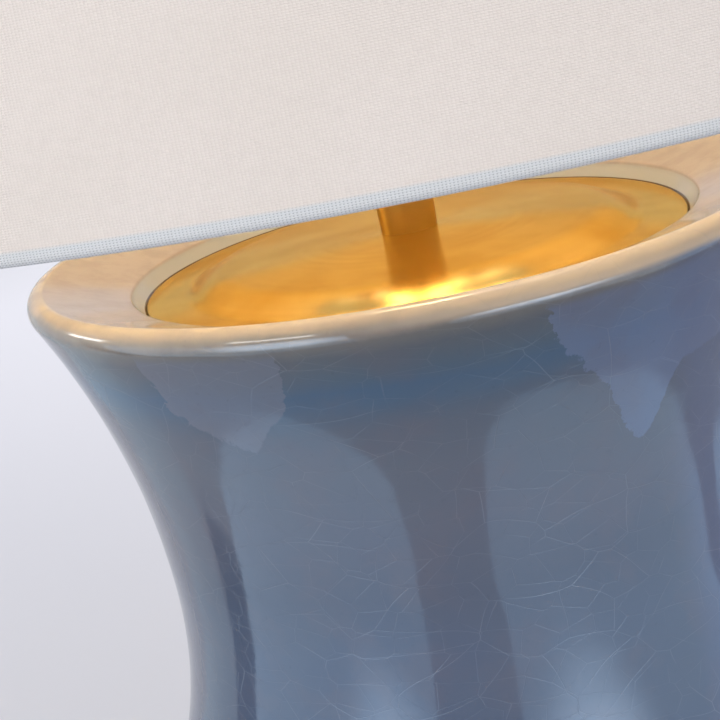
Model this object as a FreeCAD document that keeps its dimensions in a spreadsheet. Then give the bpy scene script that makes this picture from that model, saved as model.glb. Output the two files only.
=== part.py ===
# Ceramic table lamp with a flared rim, a brass cap let into its mouth and a linen drum shade.
#
# Millimetres. The lamp stands on z = 0 and its axis is the z axis. The front of the lamp, where
# the switch knob points, is -y, and the harp stands in the xz plane. Heights are counted up from
# the table; the rim of the brass cap is the datum of the upper half, because the neck, the
# socket, the harp and the shade are all stacked on it.

import FreeCAD, Part
import math
import os

import Sketcher

doc = FreeCAD.newDocument("TableLamp")
sheet = doc.addObject("Spreadsheet::Sheet", "Sizes")

# Driving dimensions: name, value, what it is.
SIZES = [
    ("rim_height", 400.0, "rim of the brass cap above the table"),
    ("ceramic_wall", 7.0, "wall of the cast ceramic body"),
    ("shelf_width", 28.3, "from the joint round the cap to the outside of the lip"),
    ("lip_rise", 8.0, "crest of the lip above the rim of the cap"),
    ("lip_roll_radius", 4.0, "rounding of the lip"),
    ("shelf_slope", 18.0, "degrees that the shelf inside the lip falls towards the cap"),
    ("shelf_edge_radius", 1.0, "rounding where the shelf drops to the cap"),
    ("waist_radius", 88.0, "narrowest radius under the lip"),
    ("waist_drop", 90.0, "waist below the rim of the cap"),
    ("belly_radius", 127.0, "widest radius of the body"),
    ("belly_drop", 226.0, "belly below the rim of the cap"),
    ("waist_arc_share", 0.57, "share of the way from waist to belly where the curve reverses"),
    ("foot_radius", 80.0, "outer radius of the foot"),
    ("foot_band", 20.0, "height of the upright foot"),
    ("foot_edge_radius", 2.0, "rounding under the foot"),
    ("foot_recess_radius", 66.0, "hollow under the foot"),
    ("foot_recess_depth", 22.0, "depth of that hollow"),
    ("floor_thickness", 8.0, "ceramic floor above the hollow"),
    ("floor_hole_radius", 14.0, "hole in the ceramic floor"),
    ("ledge_width", 14.0, "ledge that carries the cap, inside the cap's rim"),
    ("ledge_thickness", 7.0, "ledge that carries the cap"),
    ("felt_thickness", 2.0, "felt under the foot"),
    ("felt_inset", 2.0, "felt back from the edges of the foot"),
    ("cap_radius", 80.0, "outer radius of the cap's rim"),
    ("cap_sheet", 0.9, "sheet brass of the cap"),
    ("cap_gap", 0.7, "open joint round the cap"),
    ("crease_inset", 3.0, "crease of the cap inside its rim"),
    ("crease_drop", 3.9, "crease below the rim"),
    ("dome_shoulder_inset", 16.0, "where the dome starts to roll down, inside the rim"),
    ("dome_shoulder_rise", 0.05, "height there above the rim"),
    ("dome_edge_radius", 30.0, "rounding of the dome's edge"),
    ("crown_rise", 2.3, "crown of the dome above the rim"),
    ("seat_gap", 0.3, "clearance where curved pieces sit on each other"),
    ("slip", 0.3, "radial clearance of what slides on"),
    ("pipe_radius", 5.0, "threaded lamp pipe, outside"),
    ("pipe_bore_radius", 3.5, "threaded lamp pipe, bore"),
    ("pipe_tail", 4.5, "pipe below its lower nut"),
    ("pipe_headroom", 3.2, "between the pipe's top and the switch body"),
    ("thread_gap", 0.05, "between a threaded piece and what is screwed on it"),
    ("nut_flats", 14.0, "hexagon nuts across flats"),
    ("nut_height", 4.0, "hexagon nuts"),
    ("washer_radius", 9.0, "lock washer"),
    ("washer_thickness", 1.2, "lock washer"),
    ("washer_split", 1.5, "gap of the lock washer"),
    ("plate_margin", 11.0, "steel plate back from the wall of the hollow under the foot"),
    ("plate_thickness", 2.5, "steel plate under the ceramic floor"),
    ("grommet_bore_radius", 3.5, "cord inlet"),
    ("grommet_radius", 5.2, "body of the grommet"),
    ("grommet_flange_radius", 7.0, "flanges of the grommet"),
    ("grommet_flange", 1.5, "thickness of the flanges"),
    ("neck_foot_radius", 8.0, "brass neck where it stands on the cap"),
    ("neck_head_radius", 11.0, "brass neck at its top"),
    ("neck_length", 64.0, "brass neck"),
    ("neck_flare_radius", 2400.0, "hollow curve of the neck's side"),
    ("neck_edge", 0.5, "rounding of the neck's top edge"),
    ("saddle_thickness", 1.6, "harp saddle strip"),
    ("saddle_hub_radius", 10.0, "round centre of the saddle"),
    ("saddle_width", 10.5, "saddle strip"),
    ("saddle_tab_width", 6.5, "upright tabs of the saddle"),
    ("saddle_shoulder", 3.0, "height of the wide part of the tabs"),
    ("saddle_tab", 12.0, "height of the tabs"),
    ("harp_foot_offset", 29.0, "harp leg from the axis at the saddle"),
    ("harp_half_width", 56.0, "harp at its widest"),
    ("harp_wire_radius", 1.9, "harp wire"),
    ("harp_upright", 42.8, "straight foot of the leg up to its first bend"),
    ("harp_spread", 50.0, "height over which the leg spreads out"),
    ("harp_foot_bend", 40.0, "radius of the first bend"),
    ("harp_side_bend", 60.0, "radius of the second bend"),
    ("harp_top_bend", 46.0, "radius of the shoulder"),
    ("boss_radius", 6.5, "brass boss at the top of the harp"),
    ("boss_wire_drop", 5.5, "wire below the seat of the shade"),
    ("boss_wall", 0.6, "boss under the wire"),
    ("stud_radius", 3.1, "threaded stud for the finial"),
    ("stud_length", 12.0, "stud"),
    ("ferrule_wall", 0.8, "locking sleeves of the harp"),
    ("ferrule_length", 12.0, "locking sleeves of the harp"),
    ("socket_cap_collar_radius", 7.5, "threaded collar of the socket's cap"),
    ("socket_cap_collar", 7.0, "height of the collar"),
    ("socket_room", 1.5, "between the threaded shell and the card sleeve"),
    ("socket_cap_dome", 10.0, "height of the domed part"),
    ("socket_cap_skirt", 4.0, "straight rim of the cap"),
    ("socket_sheet", 0.6, "sheet brass of the socket"),
    ("socket_shell_length", 43.0, "brass shell"),
    ("socket_bead", 0.7, "rolled bead at the mouth of the shell"),
    ("card_thickness", 0.7, "card sleeve inside the shell"),
    ("switch_ledge", 0.5, "moulded switch body beyond the threaded shell"),
    ("switch_fit", 0.5, "between the switch body and the dome of the socket's cap"),
    ("switch_head", 6.5, "switch body above the middle of its stem"),
    ("screw_shell_sheet", 0.4, "threaded brass shell"),
    ("screw_shell_length", 21.0, "threaded brass shell"),
    ("contact_width", 5.0, "spring contact under the lamp"),
    ("contact_sheet", 0.5, "spring contact"),
    ("contact_length", 9.0, "spring contact"),
    ("contact_foot", 1.5, "flat foot of the contact"),
    ("contact_lift", 1.6, "free end of the contact above the switch body"),
    ("contact_gap", 1.5, "between the contact and the bulb's tip"),
    ("terminal_radius", 2.4, "terminal screws, head"),
    ("terminal_head", 1.4, "terminal screws, head"),
    ("terminal_shank_radius", 1.5, "terminal screws, shank"),
    ("terminal_shank", 4.0, "terminal screws, shank inside the switch body"),
    ("terminal_flat", 4.0, "depth of the flats that carry the terminal screws"),
    ("terminal_rise", 5.0, "terminal screws above the foot of the switch body"),
    ("knob_rise", 6.7, "switch stem above the rim of the socket's cap"),
    ("knob_stem_radius", 1.8, "switch stem"),
    ("knob_stem_start", 6.0, "inner end of the stem from the axis"),
    ("knob_standoff", 3.0, "between the socket's cap and the knob"),
    ("knob_length", 15.0, "knob"),
    ("knob_collar", 5.0, "tapered part of the knob, as deep as the stem goes in"),
    ("knob_edge", 1.0, "rounding of the knob's end"),
    ("stem_room", 0.9, "holes in the brass shell and the card round the stem"),
    ("knob_radius", 5.4, "knob"),
    ("knob_neck_radius", 3.6, "knob where it meets the stem"),
    ("knob_flute_radius", 1.3, "flutes of the knob"),
    ("knob_flute_depth", 0.87, "flutes of the knob"),
    ("knob_flute_count", 8.0, "flutes of the knob"),
    ("bulb_radius", 30.0, "glass of the bulb"),
    ("bulb_neck_step", 0.4, "glass beyond the base where it stands on it"),
    ("bulb_glass_wall", 0.9, "glass"),
    ("bulb_rise", 57.0, "widest part of the bulb above its base's top"),
    ("bulb_base_radius", 13.0, "screw base of the bulb"),
    ("bulb_fit", 0.5, "between the screw base and the threaded shell"),
    ("bulb_base_sheet", 0.4, "screw base of the bulb"),
    ("bulb_base_length", 22.0, "screw base of the bulb"),
    ("bulb_base_cone", 4.0, "dark insulator under the screw base"),
    ("bulb_tip_radius", 4.6, "solder contact"),
    ("bulb_tip", 1.3, "solder contact"),
    ("shade_bottom_radius", 206.0, "shade at its lower edge"),
    ("shade_taper", 16.0, "how much narrower the shade is at its upper edge, in radius"),
    ("shade_hem_rise", 50.0, "lower edge of the shade above the rim of the cap"),
    ("shade_height", 280.0, "shade"),
    ("linen_thickness", 0.4, "linen"),
    ("liner_thickness", 0.5, "plastic liner"),
    ("glue_gap", 0.1, "between linen and liner"),
    ("ring_wire_radius", 0.9, "steel rings in the hems"),
    ("hem_slack", 0.3, "between ring and cloth"),
    ("hem_tuck", 9.0, "cloth turned up inside the shade"),
    ("spider_drop", 13.0, "seat of the spider below the top of the shade"),
    ("spider_hub_radius", 14.0, "spider washer"),
    ("spider_hub_thickness", 1.5, "spider washer"),
    ("spider_arm_count", 3.0, "spider arms"),
    ("spider_wire_radius", 1.6, "spider arms"),
    ("spider_flat", 12.0, "level part of an arm beside the washer"),
    ("spider_bend", 14.0, "radius of the arm's bend"),
    ("stud_clearance", 0.4, "spider and finial round the stud"),
    ("finial_foot_radius", 7.5, "finial, foot"),
    ("finial_foot", 3.0, "finial, foot"),
    ("finial_waist_wall", 1.1, "finial, wall round its bore at the waist"),
    ("finial_waist_rise", 9.0, "finial, height of the ball's lower end"),
    ("finial_ball_radius", 10.0, "finial, ball"),
    ("finial_tip_radius", 2.2, "finial, tip"),
    ("finial_tip", 1.6, "finial, tip"),
    ("finial_edge", 1.0, "finial, rounding of its foot"),
    ("overrun", 1.0, "how far a cutter passes the face that it cuts"),
]

for row, (alias, value, note) in enumerate(SIZES, 1):
    sheet.set("A%d" % row, note)
    sheet.set("B%d" % row, str(value))
    sheet.setAlias("B%d" % row, alias)
doc.recompute()


class Size:
    """A size that carries both its number and the sheet formula that gives it."""

    def __init__(self, number, formula):
        self.number = number
        self.formula = formula

    def joined(self, sign, other, number):
        return Size(number, "(%s %s %s)" % (self.formula, sign, other.formula))

    def __add__(self, other):
        other = as_size(other)
        return self.joined("+", other, self.number + other.number)

    def __sub__(self, other):
        other = as_size(other)
        return self.joined("-", other, self.number - other.number)

    def __mul__(self, other):
        other = as_size(other)
        return self.joined("*", other, self.number * other.number)

    def __truediv__(self, other):
        other = as_size(other)
        return self.joined("/", other, self.number / other.number)

    def __neg__(self):
        return Size(-self.number, "(0 - %s)" % self.formula)


def as_size(value):
    return value if isinstance(value, Size) else Size(float(value), repr(value))


def cell(alias):
    return Size(float(sheet.get(alias)), "Sizes." + alias)


def root(size):
    return Size(math.sqrt(size.number), "sqrt(%s)" % size.formula)


def sine(size):
    return Size(math.sin(math.radians(size.number)), "sin(%s * 1 deg)" % size.formula)


def cosine(size):
    return Size(math.cos(math.radians(size.number)), "cos(%s * 1 deg)" % size.formula)


def tangent(size):
    return Size(math.tan(math.radians(size.number)), "tan(%s * 1 deg)" % size.formula)


def between(start, end, share):
    """The point that lies that share of the way from start to end."""
    return (
        start[0] + (end[0] - start[0]) * share,
        start[1] + (end[1] - start[1]) * share,
    )


ZERO = as_size(0)


def bind(thing, path, size):
    """Sets a property of a document object to a size, by its formula."""
    thing.setExpression(path, size.formula)


def plane(body, role):
    return [f for f in body.Origin.OriginFeatures if f.Role == role][0]


def new_body(label):
    body = doc.addObject("PartDesign::Body", label)
    body.Label = label
    return body


def new_sketch(body, label, role, offset=None):
    sketch = body.newObject("Sketcher::SketchObject", label)
    sketch.AttachmentSupport = [(plane(body, role), "")]
    sketch.MapMode = "FlatFace"
    if offset is not None:
        bind(sketch, "AttachmentOffset.Base.z", offset)
    return sketch


def hold(sketch, geometry, corner, across, size):
    """Fixes one coordinate of a sketch point: on the axis where it is zero, else by its size."""
    if size is ZERO:
        axis = -2 if across else -1
        sketch.addConstraint(Sketcher.Constraint("PointOnObject", geometry, corner, axis))
        return
    kind = "DistanceX" if across else "DistanceY"
    index = sketch.addConstraint(
        Sketcher.Constraint(kind, -1, 1, geometry, corner, size.number)
    )
    bind(sketch, "Constraints[%d]" % index, size)


def hold_radius(sketch, geometry, size):
    index = sketch.addConstraint(Sketcher.Constraint("Radius", geometry, size.number))
    bind(sketch, "Constraints[%d]" % index, size)


def arc_centre(start, end, how):
    """Centre of the arc from start to end, from one coordinate of it or from its radius."""
    (x0, y0), (x1, y1) = start, end
    kind, given = how["kind"], how["size"].number
    if kind == "centre_x":
        rise = (x1 - given) ** 2 - (x0 - given) ** 2 + y1 ** 2 - y0 ** 2
        return given, rise / (2 * (y1 - y0))
    if kind == "centre_y":
        run = (y1 - given) ** 2 - (y0 - given) ** 2 + x1 ** 2 - x0 ** 2
        return run / (2 * (x1 - x0)), given
    chord = math.hypot(x1 - x0, y1 - y0)
    reach = math.sqrt(given ** 2 - (chord / 2) ** 2) * (1 if how["left"] else -1)
    return (x0 + x1) / 2 - (y1 - y0) / chord * reach, (y0 + y1) / 2 + (x1 - x0) / chord * reach


def arc_by(kind, size, turn):
    """How an outline's arc is given. turn is left or right, as one walks along the outline."""
    return {"kind": kind, "size": size, "left": turn == "left"}


def outline(sketch, steps):
    """Draws a closed outline. Each step is a point (x, y), or (x, y, arc) for an arc that ends there."""
    points = [(step[0], step[1]) for step in steps]
    numbers = [(x.number, y.number) for x, y in points]
    ends = []
    for i in range(len(steps)):
        j = (i + 1) % len(steps)
        start, end = numbers[i], numbers[j]
        how = steps[j][2] if len(steps[j]) > 2 else None
        if how is None:
            line = Part.LineSegment(FreeCAD.Vector(*start, 0), FreeCAD.Vector(*end, 0))
            index = sketch.addGeometry(line)
            ends.append((index, 1, 2))
            continue
        cx, cy = arc_centre(start, end, how)
        circle = Part.Circle(
            FreeCAD.Vector(cx, cy, 0),
            FreeCAD.Vector(0, 0, 1),
            math.hypot(start[0] - cx, start[1] - cy),
        )
        first = math.atan2(start[1] - cy, start[0] - cx)
        last = math.atan2(end[1] - cy, end[0] - cx)
        if how["left"]:
            index = sketch.addGeometry(Part.ArcOfCircle(circle, first, last))
            ends.append((index, 1, 2))
        else:
            index = sketch.addGeometry(Part.ArcOfCircle(circle, last, first))
            ends.append((index, 2, 1))
    for i in range(len(steps)):
        j = (i + 1) % len(steps)
        joint = Sketcher.Constraint("Coincident", ends[i][0], ends[i][2], ends[j][0], ends[j][1])
        sketch.addConstraint(joint)
    for (geometry, corner, _), (x, y) in zip(ends, points):
        hold(sketch, geometry, corner, True, x)
        hold(sketch, geometry, corner, False, y)
    for i in range(len(steps)):
        j = (i + 1) % len(steps)
        how = steps[j][2] if len(steps[j]) > 2 else None
        if how is None:
            continue
        if how["kind"] == "radius":
            hold_radius(sketch, ends[i][0], how["size"])
        else:
            hold(sketch, ends[i][0], 3, how["kind"] == "centre_x", how["size"])


def bent_path(sketch, corners, radii):
    """Draws straight runs between the corners, joined by tangent arcs of these radii."""
    numbers = [FreeCAD.Vector(x.number, y.number, 0) for x, y in corners]
    starts, stops, arcs = [numbers[0]], [], []
    for i, size in enumerate(radii, 1):
        back = (numbers[i - 1] - numbers[i]).normalize()
        ahead = (numbers[i + 1] - numbers[i]).normalize()
        half = back.getAngle(ahead) / 2
        cut = size.number / math.tan(half)
        middle = numbers[i] + (back + ahead).normalize() * (size.number / math.sin(half))
        stops.append(numbers[i] + back * cut)
        starts.append(numbers[i] + ahead * cut)
        arcs.append((middle, back.cross(ahead).z < 0))
    stops.append(numbers[-1])
    lines = [sketch.addGeometry(Part.LineSegment(a, b)) for a, b in zip(starts, stops)]
    for i, (middle, left) in enumerate(arcs):
        enter, leave = stops[i], starts[i + 1]
        circle = Part.Circle(middle, FreeCAD.Vector(0, 0, 1), radii[i].number)
        first = math.atan2(enter.y - middle.y, enter.x - middle.x)
        last = math.atan2(leave.y - middle.y, leave.x - middle.x)
        if left:
            arc = sketch.addGeometry(Part.ArcOfCircle(circle, first, last))
            at_enter, at_leave = 1, 2
        else:
            arc = sketch.addGeometry(Part.ArcOfCircle(circle, last, first))
            at_enter, at_leave = 2, 1
        corner = sketch.addGeometry(Part.Point(numbers[i + 1]), True)
        sketch.addConstraint(Sketcher.Constraint("Tangent", lines[i], 2, arc, at_enter))
        sketch.addConstraint(Sketcher.Constraint("Tangent", arc, at_leave, lines[i + 1], 1))
        hold_radius(sketch, arc, radii[i])
        hold(sketch, corner, 1, True, corners[i + 1][0])
        hold(sketch, corner, 1, False, corners[i + 1][1])
        sketch.addConstraint(Sketcher.Constraint("PointOnObject", corner, 1, lines[i]))
        sketch.addConstraint(Sketcher.Constraint("PointOnObject", corner, 1, lines[i + 1]))
    for geometry, end, (x, y) in ((lines[0], 1, corners[0]), (lines[-1], 2, corners[-1])):
        hold(sketch, geometry, end, True, x)
        hold(sketch, geometry, end, False, y)


def round_outline(sketch, x, y, radius):
    circle = Part.Circle(
        FreeCAD.Vector(x.number, y.number, 0), FreeCAD.Vector(0, 0, 1), radius.number
    )
    index = sketch.addGeometry(circle)
    hold(sketch, index, 3, True, x)
    hold(sketch, index, 3, False, y)
    hold_radius(sketch, index, radius)


def box_outline(sketch, x0, x1, y0, y1):
    outline(sketch, [(x0, y0), (x1, y0), (x1, y1), (x0, y1)])


def turned(label, steps):
    """A body turned round the lamp's axis from an outline in the xz plane."""
    body = new_body(label)
    sketch = new_sketch(body, label + "_section", "XZ_Plane")
    outline(sketch, steps)
    revolve = body.newObject("PartDesign::Revolution", label + "_turned")
    revolve.Profile = sketch
    revolve.ReferenceAxis = (sketch, ["V_Axis"])
    revolve.Angle = 360
    return body


def tube(label, inner, outer, low, high):
    return turned(label, [(inner, low), (outer, low), (outer, high), (inner, high)])


def upright_arc(far, near):
    """Radius of the arc through both points that stands upright at far."""
    across, rise = far[0] - near[0], far[1] - near[1]
    return (across * across + rise * rise) / (across * 2)


def ogee_share(far, near, radius):
    """Share of the chord from far to near that an arc of this radius, upright at far, takes."""
    return radius / upright_arc(far, near)


def finish_pocket(body, label, sketch, length, reverse=False):
    """Cuts a sketch into the body and makes sure that something was cut."""
    doc.recompute()
    before = body.Shape.Volume
    pocket = body.newObject("PartDesign::Pocket", label)
    pocket.Profile = sketch
    pocket.Reversed = reverse
    bind(pocket, "Length", length)
    doc.recompute()
    if body.Shape.Volume >= before:
        raise RuntimeError(label + " cuts nothing")
    return pocket


def pad(body, label, sketch, length, symmetric=False):
    """Raises a sketch into a block, to one side or to both."""
    block = body.newObject("PartDesign::Pad", label)
    block.Profile = sketch
    block.Midplane = symmetric
    bind(block, "Length", length)
    return block


# Radii that several pieces share. The socket grows outwards from the bulb's screw base.
pipe_fit = cell("pipe_radius") + cell("slip")
recess_radius = cell("cap_radius") + cell("cap_gap")
lip_radius = recess_radius + cell("shelf_width")
screw_inner = cell("bulb_base_radius") + cell("bulb_fit")
screw_outer = screw_inner + cell("screw_shell_sheet")
switch_radius = screw_outer + cell("switch_ledge")
card_inner = screw_outer + cell("socket_room")
card_outer = card_inner + cell("card_thickness")
shell_inner = card_outer + cell("glue_gap")
shell_outer = shell_inner + cell("socket_sheet")
socket_inner = shell_outer + cell("glue_gap")
socket_outer = socket_inner + cell("socket_sheet")
knob_start = socket_outer + cell("knob_standoff")
stem_hole = cell("knob_stem_radius") + cell("stem_room")
hem_roll = cell("ring_wire_radius") + cell("hem_slack") + cell("linen_thickness")
shade_top_radius = cell("shade_bottom_radius") - cell("shade_taper")

# Levels that several pieces share, from the table up.
rim = cell("rim_height")
felt = cell("felt_thickness")
seat = cell("seat_gap")
inlet_level = felt + cell("foot_band") / 2
ledge = rim - cell("crease_drop") - cell("cap_sheet") - seat
foot_ceiling = felt + cell("foot_recess_depth")
plate_low = foot_ceiling - cell("plate_thickness")
washer_low = plate_low - cell("washer_thickness")
crown = rim + cell("crown_rise")
neck_top = crown + cell("neck_length")
saddle_floor = neck_top + cell("nut_height")
saddle_top = saddle_floor + cell("saddle_thickness")
socket_shoulder = saddle_top + cell("socket_cap_collar")
socket_rim = socket_shoulder + cell("socket_cap_dome")
socket_mouth = socket_rim + cell("socket_cap_skirt")
dome_edge = (socket_inner, socket_rim)
dome_start = (cell("socket_cap_collar_radius"), socket_shoulder + cell("socket_sheet"))
dome_radius = upright_arc(dome_edge, dome_start)
dome_reach = dome_radius - socket_inner + switch_radius + cell("switch_fit")
switch_foot = socket_rim - root(dome_radius * dome_radius - dome_reach * dome_reach)
pipe_top = switch_foot - cell("pipe_headroom")
terminal_level = switch_foot + cell("terminal_rise")
knob_level = socket_mouth + cell("knob_rise")
switch_top = knob_level + cell("switch_head")
bulb_low = switch_top + cell("contact_lift") + cell("contact_sheet") + cell("contact_gap")
bulb_skirt = bulb_low + cell("bulb_tip") + cell("bulb_base_cone")
bulb_neck = bulb_skirt + cell("bulb_base_length")
shade_foot = rim + cell("shade_hem_rise")
shade_head = shade_foot + cell("shade_height")
spider_seat = shade_head - cell("spider_drop")
spider_top = spider_seat + cell("spider_hub_thickness")
harp_top = spider_seat - cell("boss_wire_drop")


def ceramic_body():
    """The cast and glazed vase: rolled lip, shelf, ledge for the cap, waist, belly and foot."""
    wall = cell("ceramic_wall")
    lip = (lip_radius, rim + cell("lip_rise") - cell("lip_roll_radius"))
    waist = (cell("waist_radius"), rim - cell("waist_drop"))
    belly = (cell("belly_radius"), rim - cell("belly_drop"))
    inner_waist = (waist[0] - wall, waist[1])
    inner_belly = (belly[0] - wall, belly[1])
    roll = cell("lip_roll_radius")
    lip_end = between(lip, waist, ogee_share(lip, waist, roll))
    turn = between(waist, belly, cell("waist_arc_share"))
    inner_turn = between(inner_waist, inner_belly, cell("waist_arc_share"))

    slope = cell("shelf_slope")
    crest = (lip[0] - roll - roll * sine(slope), lip[1] + roll * cosine(slope))
    shelf_low = crest[1] - (crest[0] - recess_radius) * tangent(slope)
    edge = cell("shelf_edge_radius")
    cut = edge * tangent((as_size(90) - slope) / 2)

    flare = -upright_arc(waist, lip_end)
    under = ledge - cell("ledge_thickness")
    inner_flare = flare + wall
    under_drop = under - waist[1]
    inner_lip = waist[0] + flare - root(inner_flare * inner_flare - under_drop * under_drop)

    foot = cell("foot_radius")
    foot_top = felt + cell("foot_band")
    round_foot = cell("foot_edge_radius")
    taper = upright_arc(belly, (foot, foot_top))
    inner_floor = foot_ceiling + cell("floor_thickness")
    inner_taper = taper - wall
    floor_drop = belly[1] - inner_floor
    inner_foot = belly[0] - taper + root(inner_taper * inner_taper - floor_drop * floor_drop)
    mouth = cell("cap_radius") - cell("ledge_width")
    hollow = cell("foot_recess_radius")
    hole = cell("floor_hole_radius")

    steps = [
        (mouth, ledge),
        (mouth, under),
        (inner_lip, under),
        (*inner_waist, arc_by("centre_y", inner_waist[1], "left")),
        (*inner_turn, arc_by("centre_y", inner_waist[1], "left")),
        (*inner_belly, arc_by("centre_y", inner_belly[1], "right")),
        (inner_foot, inner_floor, arc_by("centre_y", inner_belly[1], "right")),
        (hole, inner_floor),
        (hole, foot_ceiling),
        (hollow, foot_ceiling),
        (hollow, felt),
        (foot - round_foot, felt),
        (foot, felt + round_foot, arc_by("centre_x", foot - round_foot, "left")),
        (foot, foot_top),
        (*belly, arc_by("centre_y", belly[1], "left")),
        (*turn, arc_by("centre_y", belly[1], "left")),
        (*waist, arc_by("centre_y", waist[1], "right")),
        (*lip_end, arc_by("centre_y", waist[1], "right")),
        (*lip, arc_by("centre_y", lip[1], "left")),
        (*crest, arc_by("centre_y", lip[1], "left")),
        (recess_radius + cut * cosine(slope), shelf_low + cut * sine(slope)),
        (recess_radius, shelf_low - cut, arc_by("centre_x", recess_radius + edge, "left")),
        (recess_radius, ledge),
    ]
    body = turned("ceramic_body", steps)
    drill = new_sketch(body, "cord_hole", "XZ_Plane")
    round_outline(drill, ZERO, inlet_level, cell("grommet_radius") + cell("slip"))
    finish_pocket(body, "cord_way", drill, foot + cell("overrun"), reverse=False)
    return body


def felt_ring():
    inset = cell("felt_inset")
    return tube(
        "felt_ring",
        cell("foot_recess_radius") + inset,
        cell("foot_radius") - cell("foot_edge_radius") - inset / 2,
        ZERO,
        felt,
    )


def brass_cap():
    """The spun brass pan: upturned rim, crease and shallow dome."""
    sheet_brass = cell("cap_sheet")
    half = sheet_brass / 2
    outer = cell("cap_radius")
    crease = (outer - cell("crease_inset"), rim - cell("crease_drop"))
    shoulder = (outer - cell("dome_shoulder_inset"), rim + cell("dome_shoulder_rise"))
    roll = cell("dome_edge_radius")
    lean = (cell("crease_inset") - sheet_brass) / cell("crease_drop")
    steps = [
        (pipe_fit, crown - sheet_brass),
        (shoulder[0], shoulder[1] - sheet_brass, arc_by("centre_x", ZERO, "right")),
        (crease[0], crease[1] - sheet_brass, arc_by("radius", roll, "right")),
        (crease[0] + sheet_brass + lean * half, crease[1] - half),
        (outer, rim - half),
        (outer - sheet_brass, rim - half, arc_by("centre_y", rim - half, "left")),
        (*crease,),
        (*shoulder, arc_by("radius", roll, "left")),
        (pipe_fit, crown, arc_by("centre_x", ZERO, "left")),
    ]
    return turned("brass_cap", steps)


def neck_tube():
    """The turned brass neck, slightly hollow in its side, between cap and harp saddle."""
    edge = cell("neck_edge")
    foot, head = cell("neck_foot_radius"), cell("neck_head_radius")
    steps = [
        (pipe_fit, crown),
        (foot, crown),
        (head, neck_top - edge, arc_by("radius", cell("neck_flare_radius"), "right")),
        (head - edge, neck_top, arc_by("centre_y", neck_top - edge, "left")),
        (pipe_fit, neck_top),
    ]
    return turned("neck_tube", steps)


def lamp_pipe():
    low = washer_low - cell("nut_height") - cell("pipe_tail")
    return tube("lamp_pipe", cell("pipe_bore_radius"), cell("pipe_radius"), low, pipe_top)


def base_plate():
    radius = cell("foot_recess_radius") - cell("plate_margin")
    return tube("base_plate", pipe_fit, radius, plate_low, foot_ceiling)


def base_washer():
    """The split lock washer between plate and nut."""
    body = tube("base_washer", pipe_fit, cell("washer_radius"), washer_low, plate_low)
    half = cell("washer_split") / 2
    slot = new_sketch(body, "washer_slot", "XY_Plane", plate_low + cell("overrun"))
    box_outline(slot, ZERO, cell("washer_radius") + cell("overrun"), -half, half)
    finish_pocket(body, "washer_gap", slot, cell("washer_thickness") + cell("overrun") * 2)
    return body


def hexagon_nut(label, low):
    """A hexagon nut that fits the pipe, standing on the level low."""
    block = doc.addObject("Part::Prism", label + "_block")
    block.Polygon = 6
    bind(block, "Circumradius", cell("nut_flats") / 2 / cosine(as_size(180) / block.Polygon))
    bind(block, "Height", cell("nut_height"))
    bore = doc.addObject("Part::Cylinder", label + "_bore")
    bind(bore, "Radius", cell("pipe_radius") + cell("thread_gap"))
    bind(bore, "Height", cell("nut_height"))
    nut = doc.addObject("Part::Cut", label)
    nut.Base = block
    nut.Tool = bore
    nut.Label = label
    bind(nut, "Placement.Base.z", low)
    return nut


def cord_grommet():
    """The rubber grommet in the back of the foot, turned round the y axis."""
    body = new_body("cord_grommet")
    sketch = new_sketch(body, "grommet_section", "YZ_Plane")
    level = inlet_level
    bore, middle = level + cell("grommet_bore_radius"), level + cell("grommet_radius")
    hollow, wide = cell("foot_recess_radius"), cell("grommet_flange_radius")
    inner = root(hollow * hollow - wide * wide) - seat
    outer = cell("foot_radius") + seat
    lip = cell("grommet_flange")
    steps = [
        (inner - lip, bore),
        (outer + lip, bore),
        (outer + lip, level + wide),
        (outer, level + wide),
        (outer, middle),
        (inner, middle),
        (inner, level + wide),
        (inner - lip, level + wide),
    ]
    outline(sketch, steps)
    axis = sketch.addGeometry(
        Part.LineSegment(
            FreeCAD.Vector(0, level.number, 0), FreeCAD.Vector(outer.number, level.number, 0)
        ),
        True,
    )
    hold(sketch, axis, 1, True, ZERO)
    hold(sketch, axis, 1, False, level)
    hold(sketch, axis, 2, True, outer)
    hold(sketch, axis, 2, False, level)
    revolve = body.newObject("PartDesign::Revolution", "grommet_turned")
    revolve.Profile = sketch
    revolve.ReferenceAxis = (sketch, ["Axis0"])
    revolve.Angle = 360
    return body


def saddle_profile(sketch, height):
    """The saddle's strip seen from the front: a flat U whose arms reach the given height."""
    thick = cell("saddle_thickness")
    outer = cell("harp_foot_offset") - cell("harp_wire_radius") - seat
    inner = outer - thick
    top = saddle_floor + height
    steps = [
        (-outer, saddle_floor + thick),
        (-outer + thick, saddle_floor, arc_by("centre_x", -outer + thick, "left")),
        (outer - thick, saddle_floor),
        (outer, saddle_floor + thick, arc_by("centre_x", outer - thick, "left")),
        (outer, top),
        (inner, top),
        (inner, saddle_top),
        (-inner, saddle_top),
        (-inner, top),
        (-outer, top),
    ]
    outline(sketch, steps)


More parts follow.
